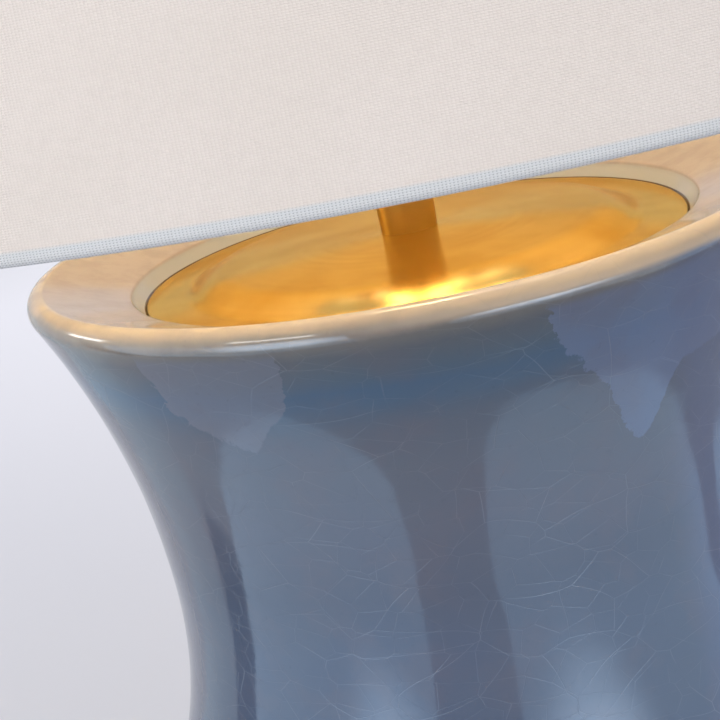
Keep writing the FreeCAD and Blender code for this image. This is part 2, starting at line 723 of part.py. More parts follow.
def harp_saddle():
    """The bent strip that carries the harp, with wide shoulders, narrow tabs and a round hub."""
    body = new_body("harp_saddle")
    low = new_sketch(body, "saddle_low", "XZ_Plane")
    saddle_profile(low, cell("saddle_thickness") + cell("saddle_shoulder"))
    pad(body, "saddle_shoulders", low, cell("saddle_width"), True)
    high = new_sketch(body, "saddle_high", "XZ_Plane")
    saddle_profile(high, cell("saddle_thickness") + cell("saddle_tab"))
    pad(body, "saddle_tabs", high, cell("saddle_tab_width"), True)
    hub = new_sketch(body, "saddle_hub", "XY_Plane", saddle_floor)
    round_outline(hub, ZERO, ZERO, cell("saddle_hub_radius"))
    pad(body, "saddle_round", hub, cell("saddle_thickness"))
    hole = new_sketch(body, "saddle_hole", "XY_Plane", saddle_top)
    round_outline(hole, ZERO, ZERO, pipe_fit)
    finish_pocket(body, "saddle_bore", hole, cell("saddle_thickness") + cell("overrun"))
    return body


def harp():
    """The brass wire harp, one tangent wire from foot to foot."""
    body = new_body("harp")
    foot_x, wide = cell("harp_foot_offset"), cell("harp_half_width")
    foot = saddle_top + seat
    bend = foot + cell("harp_upright")
    spread = bend + cell("harp_spread")
    path = new_sketch(body, "harp_line", "XZ_Plane")
    corners = [
        (-foot_x, foot),
        (-foot_x, bend),
        (-wide, spread),
        (-wide, harp_top),
        (wide, harp_top),
        (wide, spread),
        (foot_x, bend),
        (foot_x, foot),
    ]
    bends = [cell("harp_foot_bend"), cell("harp_side_bend"), cell("harp_top_bend")]
    bent_path(path, corners, bends + bends[::-1])
    wire = new_sketch(body, "harp_section", "XY_Plane", foot)
    round_outline(wire, -foot_x, ZERO, cell("harp_wire_radius"))
    pipe = body.newObject("PartDesign::AdditivePipe", "harp_wire")
    pipe.Profile = wire
    pipe.Spine = (path, [])
    return body


def harp_stud():
    """The boss on the harp's crown: the wire runs through it, and the stud takes the finial."""
    foot = harp_top - cell("harp_wire_radius") - cell("boss_wall")
    steps = [
        (ZERO, foot),
        (cell("boss_radius"), foot),
        (cell("boss_radius"), spider_seat),
        (cell("stud_radius"), spider_seat),
        (cell("stud_radius"), spider_seat + cell("stud_length")),
        (ZERO, spider_seat + cell("stud_length")),
    ]
    body = turned("harp_stud", steps)
    bore = new_sketch(body, "boss_bore_line", "YZ_Plane", -(cell("boss_radius") + cell("overrun")))
    round_outline(bore, ZERO, harp_top, cell("harp_wire_radius") + cell("thread_gap"))
    length = (cell("boss_radius") + cell("overrun")) * 2
    finish_pocket(body, "boss_bore", bore, length, reverse=True)
    return body


def harp_ferrule(label, side):
    """The sleeve that locks a harp leg to its tab. side is -1 for the left and 1 for the right."""
    body = new_body(label)
    wire = cell("harp_wire_radius")
    leg = cell("harp_foot_offset")
    tab = leg - wire - seat - cell("saddle_thickness")
    middle = (tab + leg + wire) / 2
    half_tab = cell("saddle_tab_width") / 2
    reach = (leg + wire - tab) / 2
    inner = root(reach * reach + half_tab * half_tab) + cell("slip")
    level = saddle_top + cell("saddle_shoulder") + seat
    ring = new_sketch(body, label + "_ring", "XY_Plane", level)
    round_outline(ring, middle * side, ZERO, inner + cell("ferrule_wall"))
    round_outline(ring, middle * side, ZERO, inner)
    pad(body, label + "_sleeve", ring, cell("ferrule_length"))
    return body


def socket_cap():
    """The socket's brass cap: threaded collar, bell-shaped dome and straight rim."""
    collar = cell("socket_cap_collar_radius")
    bore = cell("pipe_radius") + cell("thread_gap")
    steps = [
        (bore, saddle_top),
        (collar, saddle_top),
        (collar, socket_shoulder),
        (socket_outer, socket_rim, arc_by("centre_y", socket_rim, "left")),
        (socket_outer, socket_mouth),
        (socket_inner, socket_mouth),
        (*dome_edge,),
        (*dome_start, arc_by("centre_y", socket_rim, "right")),
        (bore, dome_start[1]),
    ]
    return turned("socket_cap", steps)


def socket_shell():
    """The brass shell with its rolled mouth and the round hole for the switch stem."""
    bead = cell("socket_bead")
    low = socket_rim + cell("glue_gap")
    high = low + cell("socket_shell_length")
    steps = [
        (shell_inner, low),
        (shell_outer, low),
        (shell_outer, high - bead * 2),
        (shell_outer, high, arc_by("centre_x", shell_outer, "left")),
        (shell_inner, high),
    ]
    body = turned("socket_shell", steps)
    stem = new_sketch(body, "shell_hole", "XZ_Plane")
    round_outline(stem, ZERO, knob_level, stem_hole)
    finish_pocket(body, "shell_way", stem, shell_outer + cell("overrun"), reverse=True)
    return body


def socket_insulator():
    """The card sleeve that lines the shell."""
    low = socket_rim + cell("glue_gap")
    high = low + cell("socket_shell_length") - cell("socket_bead") * 2
    body = tube("socket_insulator", card_inner, card_outer, low, high)
    stem = new_sketch(body, "card_hole", "XZ_Plane")
    round_outline(stem, ZERO, knob_level, stem_hole)
    finish_pocket(body, "card_way", stem, card_outer + cell("overrun"), reverse=True)
    return body


def switch_body():
    """The moulded switch body, with flats for the terminals and a bore for the stem."""
    body = tube("switch_body", cell("pipe_bore_radius"), switch_radius, switch_foot, switch_top)
    flat = switch_radius - cell("terminal_flat")
    far = switch_radius + cell("overrun")
    low = switch_foot - cell("overrun")
    top = terminal_level + cell("terminal_radius") * 2
    for name, near, end in (("left", -far, -flat), ("right", flat, far)):
        notch = new_sketch(body, "terminal_seat_" + name, "XZ_Plane")
        box_outline(notch, near, end, low, top)
        pocket = finish_pocket(body, "terminal_flat_" + name, notch, switch_radius * 2)
        pocket.Midplane = True
    bore = new_sketch(body, "terminal_line", "YZ_Plane", -switch_radius)
    round_outline(bore, ZERO, terminal_level, cell("terminal_shank_radius") + cell("thread_gap"))
    finish_pocket(body, "terminal_bore", bore, switch_radius * 2, reverse=True)
    stem = new_sketch(body, "stem_line", "XZ_Plane")
    round_outline(stem, ZERO, knob_level, cell("knob_stem_radius") + cell("slip"))
    finish_pocket(body, "stem_bore", stem, far, reverse=True)
    return body


def screw_shell():
    """The brass screw shell that stands on the switch body."""
    high = switch_top + cell("screw_shell_length")
    return tube("screw_shell", screw_inner, screw_outer, switch_top, high)


def centre_contact():
    """The spring tongue that meets the tip of the bulb."""
    body = new_body("centre_contact")
    sketch = new_sketch(body, "contact_side", "XZ_Plane")
    half = cell("contact_length") / 2
    thick, lift = cell("contact_sheet"), cell("contact_lift")
    foot = cell("contact_foot")
    steps = [
        (-half, switch_top),
        (-half + foot, switch_top),
        (half, switch_top + lift),
        (half, switch_top + lift + thick),
        (-half + foot, switch_top + thick),
        (-half, switch_top + thick),
    ]
    outline(sketch, steps)
    pad(body, "contact_tongue", sketch, cell("contact_width"), True)
    return body


def terminal_screws():
    """Two brass terminal screws, one in each flat of the switch body."""
    flat = switch_radius - cell("terminal_flat")
    both = []
    for name, side in (("left", -1), ("right", 1)):
        turn = FreeCAD.Rotation(FreeCAD.Vector(0, 1, 0), 90 * side)
        bars = []
        for piece, radius, start, length in (
            ("head", cell("terminal_radius"), flat, cell("terminal_head")),
            (
                "shank",
                cell("terminal_shank_radius"),
                flat - cell("terminal_shank"),
                cell("terminal_shank"),
            ),
        ):
            bar = doc.addObject("Part::Cylinder", "terminal_%s_%s" % (piece, name))
            bind(bar, "Radius", radius)
            bind(bar, "Height", length)
            bar.Placement = FreeCAD.Placement(FreeCAD.Vector(0, 0, 0), turn)
            bind(bar, "Placement.Base.x", start * side)
            bind(bar, "Placement.Base.z", terminal_level)
            bars.append(bar)
        screw = doc.addObject("Part::Fuse", "terminal_" + name)
        screw.Base, screw.Tool = bars
        both.append(screw)
    group = doc.addObject("Part::Compound", "terminal_screws")
    group.Links = both
    group.Label = "terminal_screws"
    return group


def switch_stem():
    """The stem that carries the knob, along -y."""
    stem = doc.addObject("Part::Cylinder", "switch_stem")
    stem.Label = "switch_stem"
    bind(stem, "Radius", cell("knob_stem_radius"))
    bind(stem, "Height", knob_start + cell("knob_collar") - cell("knob_stem_start"))
    turn = FreeCAD.Rotation(FreeCAD.Vector(1, 0, 0), 90)
    stem.Placement = FreeCAD.Placement(FreeCAD.Vector(0, 0, 0), turn)
    bind(stem, "Placement.Base.y", -cell("knob_stem_start"))
    bind(stem, "Placement.Base.z", knob_level)
    return stem


def switch_knob():
    """The fluted knob, turned round the stem's axis."""
    body = new_body("switch_knob")
    end = knob_start + cell("knob_length")
    collar = knob_start + cell("knob_collar")
    pit = collar + cell("thread_gap")
    neck, wide = cell("knob_neck_radius"), cell("knob_radius")
    stem = cell("knob_stem_radius") + cell("thread_gap")
    edge = cell("knob_edge")
    section = new_sketch(body, "knob_section", "XY_Plane")
    steps = [
        (stem, -knob_start),
        (stem, -pit),
        (ZERO, -pit),
        (ZERO, -end),
        (wide - edge, -end),
        (wide, edge - end, arc_by("centre_x", wide - edge, "left")),
        (wide, -collar),
        (neck, -knob_start),
    ]
    outline(section, steps)
    revolve = body.newObject("PartDesign::Revolution", "knob_turned")
    revolve.Profile = section
    revolve.ReferenceAxis = (section, ["V_Axis"])
    revolve.Angle = 360
    flute = new_sketch(body, "knob_flute", "XZ_Plane", collar)
    radius = cell("knob_flute_radius")
    round_outline(flute, wide + radius - cell("knob_flute_depth"), ZERO, radius)
    groove = finish_pocket(body, "knob_groove", flute, cell("knob_length"), reverse=True)
    ring = body.newObject("PartDesign::PolarPattern", "knob_flutes")
    ring.Originals = [groove]
    ring.Axis = (plane(body, "Y_Axis"), [""])
    ring.Angle = 360
    bind(ring, "Occurrences", cell("knob_flute_count"))
    body.Tip = ring
    bind(body, "Placement.Base.z", knob_level)
    return body


def bulb_glass():
    """The opal glass: straight neck, flowing shoulder and round head."""
    wall = cell("bulb_glass_wall")
    radius = cell("bulb_radius")
    neck_radius = cell("bulb_base_radius") + cell("bulb_neck_step")
    neck = (neck_radius, bulb_neck + cell("glue_gap"))
    wide = (radius, bulb_neck + cell("bulb_rise"))
    turn = between(wide, neck, ogee_share(wide, neck, radius))
    inner_neck = (neck[0] - wall, neck[1])
    inner_wide = (radius - wall, wide[1])
    inner_turn = between(inner_wide, inner_neck, ogee_share(inner_wide, inner_neck, radius - wall))
    steps = [
        (*neck,),
        (*turn, arc_by("centre_y", neck[1], "right")),
        (*wide, arc_by("centre_y", wide[1], "left")),
        (ZERO, wide[1] + radius, arc_by("centre_x", ZERO, "left")),
        (ZERO, wide[1] + radius - wall),
        (*inner_wide, arc_by("centre_x", ZERO, "right")),
        (*inner_turn, arc_by("centre_y", wide[1], "right")),
        (*inner_neck, arc_by("centre_y", neck[1], "left")),
    ]
    return turned("bulb_glass", steps)


def bulb_base():
    """The screw base of the bulb, a thin metal cup."""
    outer = cell("bulb_base_radius")
    thin = cell("bulb_base_sheet")
    return tube("bulb_base", outer - thin, outer, bulb_skirt, bulb_neck)


def bulb_insulator():
    """The dark glass cone between the screw base and the solder tip."""
    tip = cell("bulb_tip_radius")
    low = bulb_low + cell("bulb_tip")
    steps = [
        (ZERO, low),
        (tip, low),
        (cell("bulb_base_radius"), bulb_skirt),
        (ZERO, bulb_skirt),
    ]
    return turned("bulb_insulator", steps)


def bulb_tip():
    """The solder contact at the very bottom."""
    low, tip = bulb_low, cell("bulb_tip_radius")
    high = low + cell("bulb_tip")
    steps = [
        (ZERO, low),
        (tip - cell("bulb_tip"), low),
        (tip, high, arc_by("centre_x", tip - cell("bulb_tip"), "left")),
        (ZERO, high),
    ]
    return turned("bulb_tip", steps)


def shade_wall():
    """Radius and level of the shade's wall at both ends, where it leaves the rolled hems."""
    low = (cell("shade_bottom_radius"), shade_foot + hem_roll)
    high = (shade_top_radius, shade_head - hem_roll)
    return low, high


def shade_linen():
    """The linen cover: a tapered wall whose edges are rolled round the rings and tucked inside."""
    cloth = cell("linen_thickness")
    low, high = shade_wall()
    roll, rise = hem_roll, hem_roll / 2
    backing = cell("glue_gap") * 2 + cell("liner_thickness") + cloth
    run = (low[0] - high[0]) / (high[1] - low[1])
    tuck_low = low[0] - backing - run * cell("hem_tuck")
    tuck_high = high[0] - backing
    steps = [
        (*high,),
        (high[0] - roll * 2, high[1], arc_by("centre_y", high[1], "left")),
        (high[0] - roll * 2, high[1] - rise),
        (tuck_high - cloth, high[1] - roll * 2),
        (tuck_high - cloth, shade_head - cell("hem_tuck")),
        (tuck_high, shade_head - cell("hem_tuck")),
        (tuck_high, high[1] - roll * 2),
        (high[0] - roll * 2 + cloth, high[1] - rise),
        (high[0] - roll * 2 + cloth, high[1]),
        (high[0] - cloth, high[1], arc_by("centre_y", high[1], "right")),
        (low[0] - cloth, low[1]),
        (low[0] - roll * 2 + cloth, low[1], arc_by("centre_y", low[1], "right")),
        (low[0] - roll * 2 + cloth, low[1] + rise),
        (tuck_low, low[1] + roll * 2),
        (tuck_low, shade_foot + cell("hem_tuck")),
        (tuck_low - cloth, shade_foot + cell("hem_tuck")),
        (tuck_low - cloth, low[1] + roll * 2),
        (low[0] - roll * 2, low[1] + rise),
        (low[0] - roll * 2, low[1]),
        (*low, arc_by("centre_y", low[1], "left")),
    ]
    return turned("shade_linen", steps)


def shade_liner():
    """The plastic liner that the linen is laid on."""
    low, high = shade_wall()
    run = (low[0] - high[0]) / (high[1] - low[1])
    inset = cell("linen_thickness") + cell("glue_gap")
    thick = cell("liner_thickness")
    foot, head = low[0] - inset - run * hem_roll, high[0] - inset + run * hem_roll
    steps = [
        (foot - thick, low[1] + hem_roll),
        (foot, low[1] + hem_roll),
        (head, high[1] - hem_roll),
        (head - thick, high[1] - hem_roll),
    ]
    return turned("shade_liner", steps)


def shade_ring(label, edge_radius, level):
    """The round steel ring inside the hem whose outside has this radius."""
    ring = doc.addObject("Part::Torus", label)
    ring.Label = label
    bind(ring, "Radius1", edge_radius - hem_roll)
    bind(ring, "Radius2", cell("ring_wire_radius"))
    bind(ring, "Placement.Base.z", level)
    return ring


def spider_hub():
    inner = cell("stud_radius") + cell("stud_clearance")
    return tube("spider_hub", inner, cell("spider_hub_radius"), spider_seat, spider_top)


def spider_arms():
    """Three bent wires from the washer up to the top ring."""
    body = new_body("spider_arms")
    body.AllowCompound = True
    level = (spider_seat + spider_top) / 2
    start = cell("spider_hub_radius") + cell("glue_gap")
    end = shade_top_radius - hem_roll * 2 - cell("glue_gap")
    path = new_sketch(body, "arm_line", "XZ_Plane")
    corners = [(start, level), (start + cell("spider_flat"), level), (end, shade_head - hem_roll)]
    bent_path(path, corners, [cell("spider_bend")])
    wire = new_sketch(body, "arm_section", "YZ_Plane", start)
    round_outline(wire, ZERO, level, cell("spider_wire_radius"))
    pipe = body.newObject("PartDesign::AdditivePipe", "arm_wire")
    pipe.Profile = wire
    pipe.Spine = (path, [])
    arms = body.newObject("PartDesign::PolarPattern", "arm_pattern")
    arms.Originals = [pipe]
    arms.Axis = (plane(body, "Z_Axis"), [""])
    arms.Angle = 360
    bind(arms, "Occurrences", cell("spider_arm_count"))
    body.Tip = arms
    body.Placement = FreeCAD.Placement(
        FreeCAD.Vector(0, 0, 0), FreeCAD.Rotation(FreeCAD.Vector(0, 0, 1), 90)
    )
    return body


def finial():
    """The turned brass finial: foot, waist, ball and tip, bored for the stud."""
    low = spider_top + seat
    bore = cell("stud_radius") + cell("stud_clearance")
    pit = spider_seat + cell("stud_length") + cell("stud_clearance")
    foot, waist = cell("finial_foot_radius"), bore + cell("finial_waist_wall")
    ball, tip = cell("finial_ball_radius"), cell("finial_tip_radius")
    foot_top = low + cell("finial_foot")
    ball_low = low + cell("finial_waist_rise")
    centre = ball_low + root(ball * ball - waist * waist)
    ball_high = centre + root(ball * ball - tip * tip)
    top = ball_high + cell("finial_tip")
    edge = cell("finial_edge")
    steps = [
        (bore, low),
        (foot, low),
        (foot, foot_top - edge),
        (foot - edge, foot_top, arc_by("centre_y", foot_top - edge, "left")),
        (waist, ball_low, arc_by("centre_y", ball_low, "right")),
        (ball, centre, arc_by("centre_x", ZERO, "left")),
        (tip, ball_high, arc_by("centre_x", ZERO, "left")),
        (ZERO, top, arc_by("centre_x", ZERO, "left")),
        (ZERO, pit),
        (bore, pit),
    ]
    return turned("finial", steps)


nodes = [
    ceramic_body(),
    felt_ring(),
    brass_cap(),
    neck_tube(),
    lamp_pipe(),
    base_plate(),
    base_washer(),
    hexagon_nut("base_nut", washer_low - cell("nut_height")),
    hexagon_nut("neck_nut", neck_top),
    cord_grommet(),
    harp_saddle(),
    harp(),
    harp_stud(),
    harp_ferrule("harp_ferrule_left", -1),
    harp_ferrule("harp_ferrule_right", 1),
    socket_cap(),
    socket_shell(),
    socket_insulator(),
    switch_body(),
    screw_shell(),
    centre_contact(),
    terminal_screws(),
    switch_stem(),
    switch_knob(),
    bulb_glass(),
    bulb_base(),
    bulb_insulator(),
    bulb_tip(),
    shade_linen(),
    shade_liner(),
    shade_ring("shade_ring_bottom", cell("shade_bottom_radius"), shade_foot + hem_roll),
    shade_ring("shade_ring_top", shade_top_radius, shade_head - hem_roll),
    spider_hub(),
    spider_arms(),
    finial(),
]

doc.recompute()
faults = [o.Name for o in doc.Objects if {"Invalid", "Error"} & set(o.State)]
for node in nodes:
    if node.Shape.isNull() or not node.Shape.isValid() or not node.Shape.Solids:
        faults.append(node.Label)
if faults:
    raise RuntimeError("these did not build: " + ", ".join(sorted(set(faults))))

os.makedirs("parts", exist_ok=True)
for node in nodes:
    node.Shape.exportStep("parts/%s.step" % node.Label)
    box = node.Shape.BoundBox
    print(
        "%-20s solids %d  volume %10.1f mm3  z %7.2f to %7.2f"
        % (node.Label, len(node.Shape.Solids), node.Shape.Volume, box.ZMin, box.ZMax)
    )
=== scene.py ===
# %% Load the lamp's frame
import math
from functools import partial

import bmesh
import bpy
from mathutils import Matrix, Vector


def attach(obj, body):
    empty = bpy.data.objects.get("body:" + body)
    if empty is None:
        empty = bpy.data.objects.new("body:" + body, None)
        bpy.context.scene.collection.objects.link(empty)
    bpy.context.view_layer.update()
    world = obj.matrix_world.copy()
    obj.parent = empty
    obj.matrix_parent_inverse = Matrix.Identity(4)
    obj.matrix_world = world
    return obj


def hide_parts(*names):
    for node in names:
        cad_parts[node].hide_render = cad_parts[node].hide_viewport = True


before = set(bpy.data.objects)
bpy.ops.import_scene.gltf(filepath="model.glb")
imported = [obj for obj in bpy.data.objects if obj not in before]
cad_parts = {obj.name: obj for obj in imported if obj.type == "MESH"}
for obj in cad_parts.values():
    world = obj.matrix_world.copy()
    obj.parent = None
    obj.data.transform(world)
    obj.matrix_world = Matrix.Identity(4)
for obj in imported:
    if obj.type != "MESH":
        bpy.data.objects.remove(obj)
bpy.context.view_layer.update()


# %% [markdown]
# # A ceramic table lamp
#
# The lamp is a glazed vase with a brass pan let into its mouth, a brass neck and harp, and a linen drum
# shade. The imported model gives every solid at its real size. The vase, the pan, the linen and the felt are
# made again here with finer surfaces, because their gloss and weave carry the picture. The metal fittings
# keep their solids and get a material each.
#
# Sizes are in metres, so a length written in millimetres goes through one small function first.

# %% Small helpers for lengths and colours


def mm(value):
    """Millimetres as metres."""
    return value / 1000


def between(one, two, share):
    """The point this share of the way from one to two."""
    return one[0] + (two[0] - one[0]) * share, one[1] + (two[1] - one[1]) * share


def colour(code):
    """An sRGB hex colour as the linear values that Blender works in."""
    channels = [int(code[at : at + 2], 16) / 255 for at in (1, 3, 5)]
    linear = [c / 12.92 if c <= 0.04045 else ((c + 0.055) / 1.055) ** 2.4 for c in channels]
    return (*linear, 1.0)


def into_scene(name, data):
    """A new object with this data, in the scene."""
    thing = bpy.data.objects.new(name, data)
    bpy.context.scene.collection.objects.link(thing)
    return thing


print("helpers ready")

# %% [markdown]
# Materials and shapes are both trees of nodes. One function adds a node with its settings and links and
# returns what comes out of it, so a tree reads like a list of sums. Below, add is that function for the tree
# at hand.

# %% Add a node


def give(socket, value):
    """Links another node's output to this input, or sets it to a value, where hex text is a colour."""
    if isinstance(value, bpy.types.NodeSocket):
        socket.id_data.links.new(value, socket)
    elif isinstance(value, str) and value.startswith("#"):
        socket.default_value = colour(value)
    else:
        socket.default_value = value


def fill(node, values):
    """Gives values to a node's inputs by their names."""
    for name, value in values.items():
        give(node.inputs[name], value)


def add_node(tree, kind, *values, out=None, **settings):
    """Adds a node and returns its first output, the output named by out, or a list for a tuple of names.

    The values go to the inputs that the node shows, in their order, or by name if they come in a dict.
    """
    node = tree.nodes.new(kind if "Node" in kind else "ShaderNode" + kind)
    for name, value in settings.items():
        setattr(node, name, value)
    if values and isinstance(values[0], dict):
        fill(node, values[0])
    else:
        for socket, value in zip([socket for socket in node.inputs if socket.enabled], values):
            give(socket, value)
    if isinstance(out, tuple):
        return [node.outputs[name] for name in out]
    return node.outputs[out] if out else next((socket for socket in node.outputs if socket.enabled), None)


def new_finish(name):
    """A new material, what adds a node to it, and its shader."""
    finish = bpy.data.materials.new(name)
    finish.use_nodes = True
    return finish, partial(add_node, finish.node_tree), finish.node_tree.nodes["Principled BSDF"]


# Settings that many nodes share: a smooth step, a mix of colours, and three sums.
smooth = {"interpolation_type": "SMOOTHSTEP"}
colours = {"data_type": "RGBA"}
times, minus, times_plus = ({"operation": name} for name in ("MULTIPLY", "SUBTRACT", "MULTIPLY_ADD"))
print("nodes can be added")

# %% [markdown]
# ## Camera
#
# The photograph is a close view from just above the rim, turned in its frame by nearly twelve degrees. The
# oval of the pan's edge gives the height and pitch, and the tilt of the neck gives the roll. An 80 mm lens on
# a 36 mm sensor has the same narrow view. Three angles set the camera, so that each can be changed by itself.

# %% Set the camera
camera_place = Vector((0.0, -0.44536, 0.498))
pitch, roll, yaw = (math.radians(angle) for angle in (16.44, -11.61, -2.74))

ahead = Vector((math.sin(yaw) * math.cos(pitch), math.cos(yaw) * math.cos(pitch), -math.sin(pitch)))
sideways = Vector((math.cos(yaw), -math.sin(yaw), 0.0))
upright = sideways.cross(ahead)
across = math.cos(roll) * sideways + math.sin(roll) * upright
upwards = -math.sin(roll) * sideways + math.cos(roll) * upright

camera = into_scene("camera", bpy.data.cameras.new("camera"))
camera.data.lens = 80
camera.data.sensor_width = 36
camera.data.clip_start = 0.01
facing = Matrix((across, upwards, -ahead)).transposed().to_4x4()
camera.matrix_world = Matrix.Translation(camera_place) @ facing
bpy.context.scene.camera = camera
bpy.context.scene.view_settings.view_transform = "Standard"
print("camera at", tuple(round(value, 3) for value in camera_place))

# %% [markdown]
# ## Floor and light
#
# A glossy glaze shows what stands round it, so the light is part of its look. Four pale cards and a dark one
# stand close round the lamp. Their places come from the photograph: each edge of a pale column on the vase
# was followed back along its mirrored ray. Only gloss sees them. Small bright lamps further off make the
# streaks on the lip and light the linen, and a wide one lights the floor behind the lamp.

# %% Lay the floor
floor_size = 14.0

half = floor_size / 2
floor_mesh = bpy.data.meshes.new("floor")
floor_corners = [(-half, -half, 0), (half, -half, 0), (half, half, 0), (-half, half, 0)]
floor_mesh.from_pydata(floor_corners, [], [(0, 1, 2, 3)])
floor = into_scene("floor", floor_mesh)

# Matt paint rolled on board: two close tones in broad clouds, and hardly any gloss.
floor_paint, add, shader = new_finish("matt_painted_board")
place = add("TexCoord", out="Object")
mottle = add("TexNoise", place, 3.0, 3.0)
tone = add("Mix", mottle, "#DADADE", "#DDDDE1", **colours)
fill(shader, {"Base Color": tone, "Roughness": 0.85, "Specular IOR Level": 0.2})
floor_mesh.materials.append(floor_paint)
print("floor of", floor_size, "m laid")

# %% [markdown]
# Far from the lamp no light reaches the floor, so there it fades into the pale tone of the air round it, for
# the eye, for gloss and through glass. Near the lamp it is only paint, and keeps the lamp's shadow. The world
# has the same tone for those rays, and a dimmer light for the rest.

# %% Fade the far floor into the air
air_tint, air_level, air_light = "#DDDFE6", 0.86, 0.50
fade_start, fade_end = 1.9, 3.4


def seen_share(add):
    """1 for rays of the eye, of gloss and through glass, and 0 for the rays that light things."""
    seen, *others = add("LightPath", out=("Is Camera Ray", "Is Glossy Ray", "Is Transmission Ray"))
    for ray in others:
        seen = add("Math", seen, ray, operation="MAXIMUM")
    return seen


away = add("VectorMath", place, operation="LENGTH")
fade = add("MapRange", away, fade_start, fade_end)
share = add("Math", fade, seen_share(add), **times)
faded = add("MixShader", share, shader.outputs[0], add("Emission", air_tint, air_level))
fill(floor_paint.node_tree.nodes["Material Output"], {"Surface": faded})

world = bpy.data.worlds.new("pale_studio")
world.use_nodes = True
add = partial(add_node, world.node_tree)
strength = add("MapRange", seen_share(add), 0.0, 1.0, air_light, air_level)
fill(world.node_tree.nodes["Background"], {"Color": air_tint, "Strength": strength})
bpy.context.scene.world = world
print("floor fades from", fade_start, "to", fade_end, "m")

# %% Hang the lamps


def panel(name, place, aim, width, height, radiance, tint="#FFFFFF", spread=180):
    """A soft rectangular lamp that shines from place towards aim; radiance is its brightness to the eye."""
    lamp = bpy.data.lights.new(name, "AREA")
    lamp.shape = "RECTANGLE"
    lamp.size, lamp.size_y = width, height
    lamp.energy = radiance * math.pi * width * height
    lamp.color = colour(tint)[:3]
    lamp.spread = math.radians(spread)
    holder = into_scene(name, lamp)
    holder.location = place
    holder.rotation_euler = (Vector(aim) - Vector(place)).to_track_quat("-Z", "Y").to_euler()
    holder.visible_camera = False
    return holder


shade_foot = (0, 0, 0.45)
lamps = [
    panel("lamp_left", (-0.66, -0.74, 0.82), shade_foot, 0.45, 0.30, 9.5),
    panel("lamp_right", (0.56, -0.80, 0.98), shade_foot, 0.45, 0.30, 9.8),
    panel("lamp_side", (-1.25, 0.38, 0.78), shade_foot, 0.40, 0.25, 9.0),
    panel("lamp_behind", (-0.2, 2.3, 2.3), (-0.3, 2.1, 0.0), 2.6, 2.4, 1.15, "#FBFAFF", 90),
]
print("lamps:", [lamp.name for lamp in lamps])

# %% [markdown]
# Each card is a row of upright strips over a line on the floor. The corners of its lower and upper edge are
# rounded by drawing both edges in near the ends. Its glow comes from its own material: even all over, or
# with a brighter pool where a lamp stands behind the cloth. The card on the right is low, so that the lip
# mirrors only a thin streak of it.

# %% Stand the cards
card_step, card_foot, pool_core = 10.0, 1.0, 0.02


def card_glow(name, tint, glow, pool=None):
    """A cloth that glows evenly, with a soft bright pool if one is given as place, radius and brightness."""
    cloth, add, _ = new_finish(name)
    strength = glow
    if pool:
        pool_place, pool_radius, pool_glow = pool
        gap = add("VectorMath", add("TexCoord", out="Object"), pool_place, operation="DISTANCE")
        edges = (pool_radius, pool_core, glow, pool_glow)
        strength = add("MapRange", gap, *edges, interpolation_type="SMOOTHERSTEP")
    fill(cloth.node_tree.nodes["Material Output"], {"Surface": add("Emission", tint, strength)})
    return cloth


def stand_card(name, foot_line, rounding, cloth, height=420):
    """An upright card over a line of floor points in millimetres, seen only in gloss."""
    lengths = [math.dist(one, two) for one, two in zip(foot_line, foot_line[1:])]
    whole = sum(lengths)
    count = math.ceil(whole / card_step)
    corners = []
    for number in range(count + 1):
        way = whole * number / count
        end_gap = min(way, whole - way, rounding)
        drawn_in = rounding - math.sqrt(rounding**2 - (rounding - end_gap) ** 2)
        rest, leg = way, 0
        while leg < len(lengths) - 1 and rest > lengths[leg]:
            rest -= lengths[leg]
            leg += 1
        x, y = between(foot_line[leg], foot_line[leg + 1], rest / lengths[leg])
        corners += [(mm(x), mm(y), mm(card_foot + drawn_in)), (mm(x), mm(y), mm(height - drawn_in))]
    mesh = bpy.data.meshes.new(name)
    mesh.from_pydata(corners, [], [(n * 2, n * 2 + 2, n * 2 + 3, n * 2 + 1) for n in range(count)])
    mesh.materials.append(cloth)
    stood = into_scene(name, mesh)
    stood.visible_camera = stood.visible_diffuse = stood.visible_shadow = False
    return stood


front_tint = "#C9E4FF"
left_cloth = card_glow("glowing_cloth_left", front_tint, 2.05, ((-0.226, -0.315, 0.30), 0.19, 9.0))
right_cloth = card_glow("glowing_cloth_right", front_tint, 1.95, ((0.166, -0.329, 0.31), 0.19, 9.5))
back_cloth = card_glow("glowing_cloth_back", "#D8E6F2", 1.0)
side_cloth = card_glow("glowing_cloth_side", front_tint, 1.6)
dark_cloth = card_glow("dark_cloth", "#7C8698", 0.5)
cards = [
    stand_card("card_left", [(-563, 8), (-139, -399)], 60, left_cloth),
    stand_card("card_right", [(40, -393), (300, -263), (575, 12)], 90, right_cloth, height=330),
    stand_card("card_back_left", [(-560, 118), (-590, 700)], 70, back_cloth),
    stand_card("card_back_right", [(600, 90), (600, 700)], 70, side_cloth),
    stand_card("flag_left", [(-585, -8), (-585, 125)], 20, dark_cloth),
]
print("cards:", [stood.name for stood in cards])

# %% [markdown]
# ## A lathe in Geometry Nodes
#
# The vase, the pan, the linen and the felt ring are turned shapes: one outline carried round the axis. A
# grid is bent so that each of its columns takes the outline's points in order. The same tree adds a slow
# waviness, which makes reflections on glaze and spun metal wobble, a lap where a cloth meets itself, and a
# map whose width is the way round and whose height is the way along the outline.

# %% Build the lathe tree
lathe_inputs = {
    "Outline": "Object", "Points": "Int", "Steps round": "Int", "Wave height": "Float", "Wave size": "Float",
    "Overlap height": "Float", "Overlap angle": "Float", "Seed": "Int", "Finish": "Material",
}

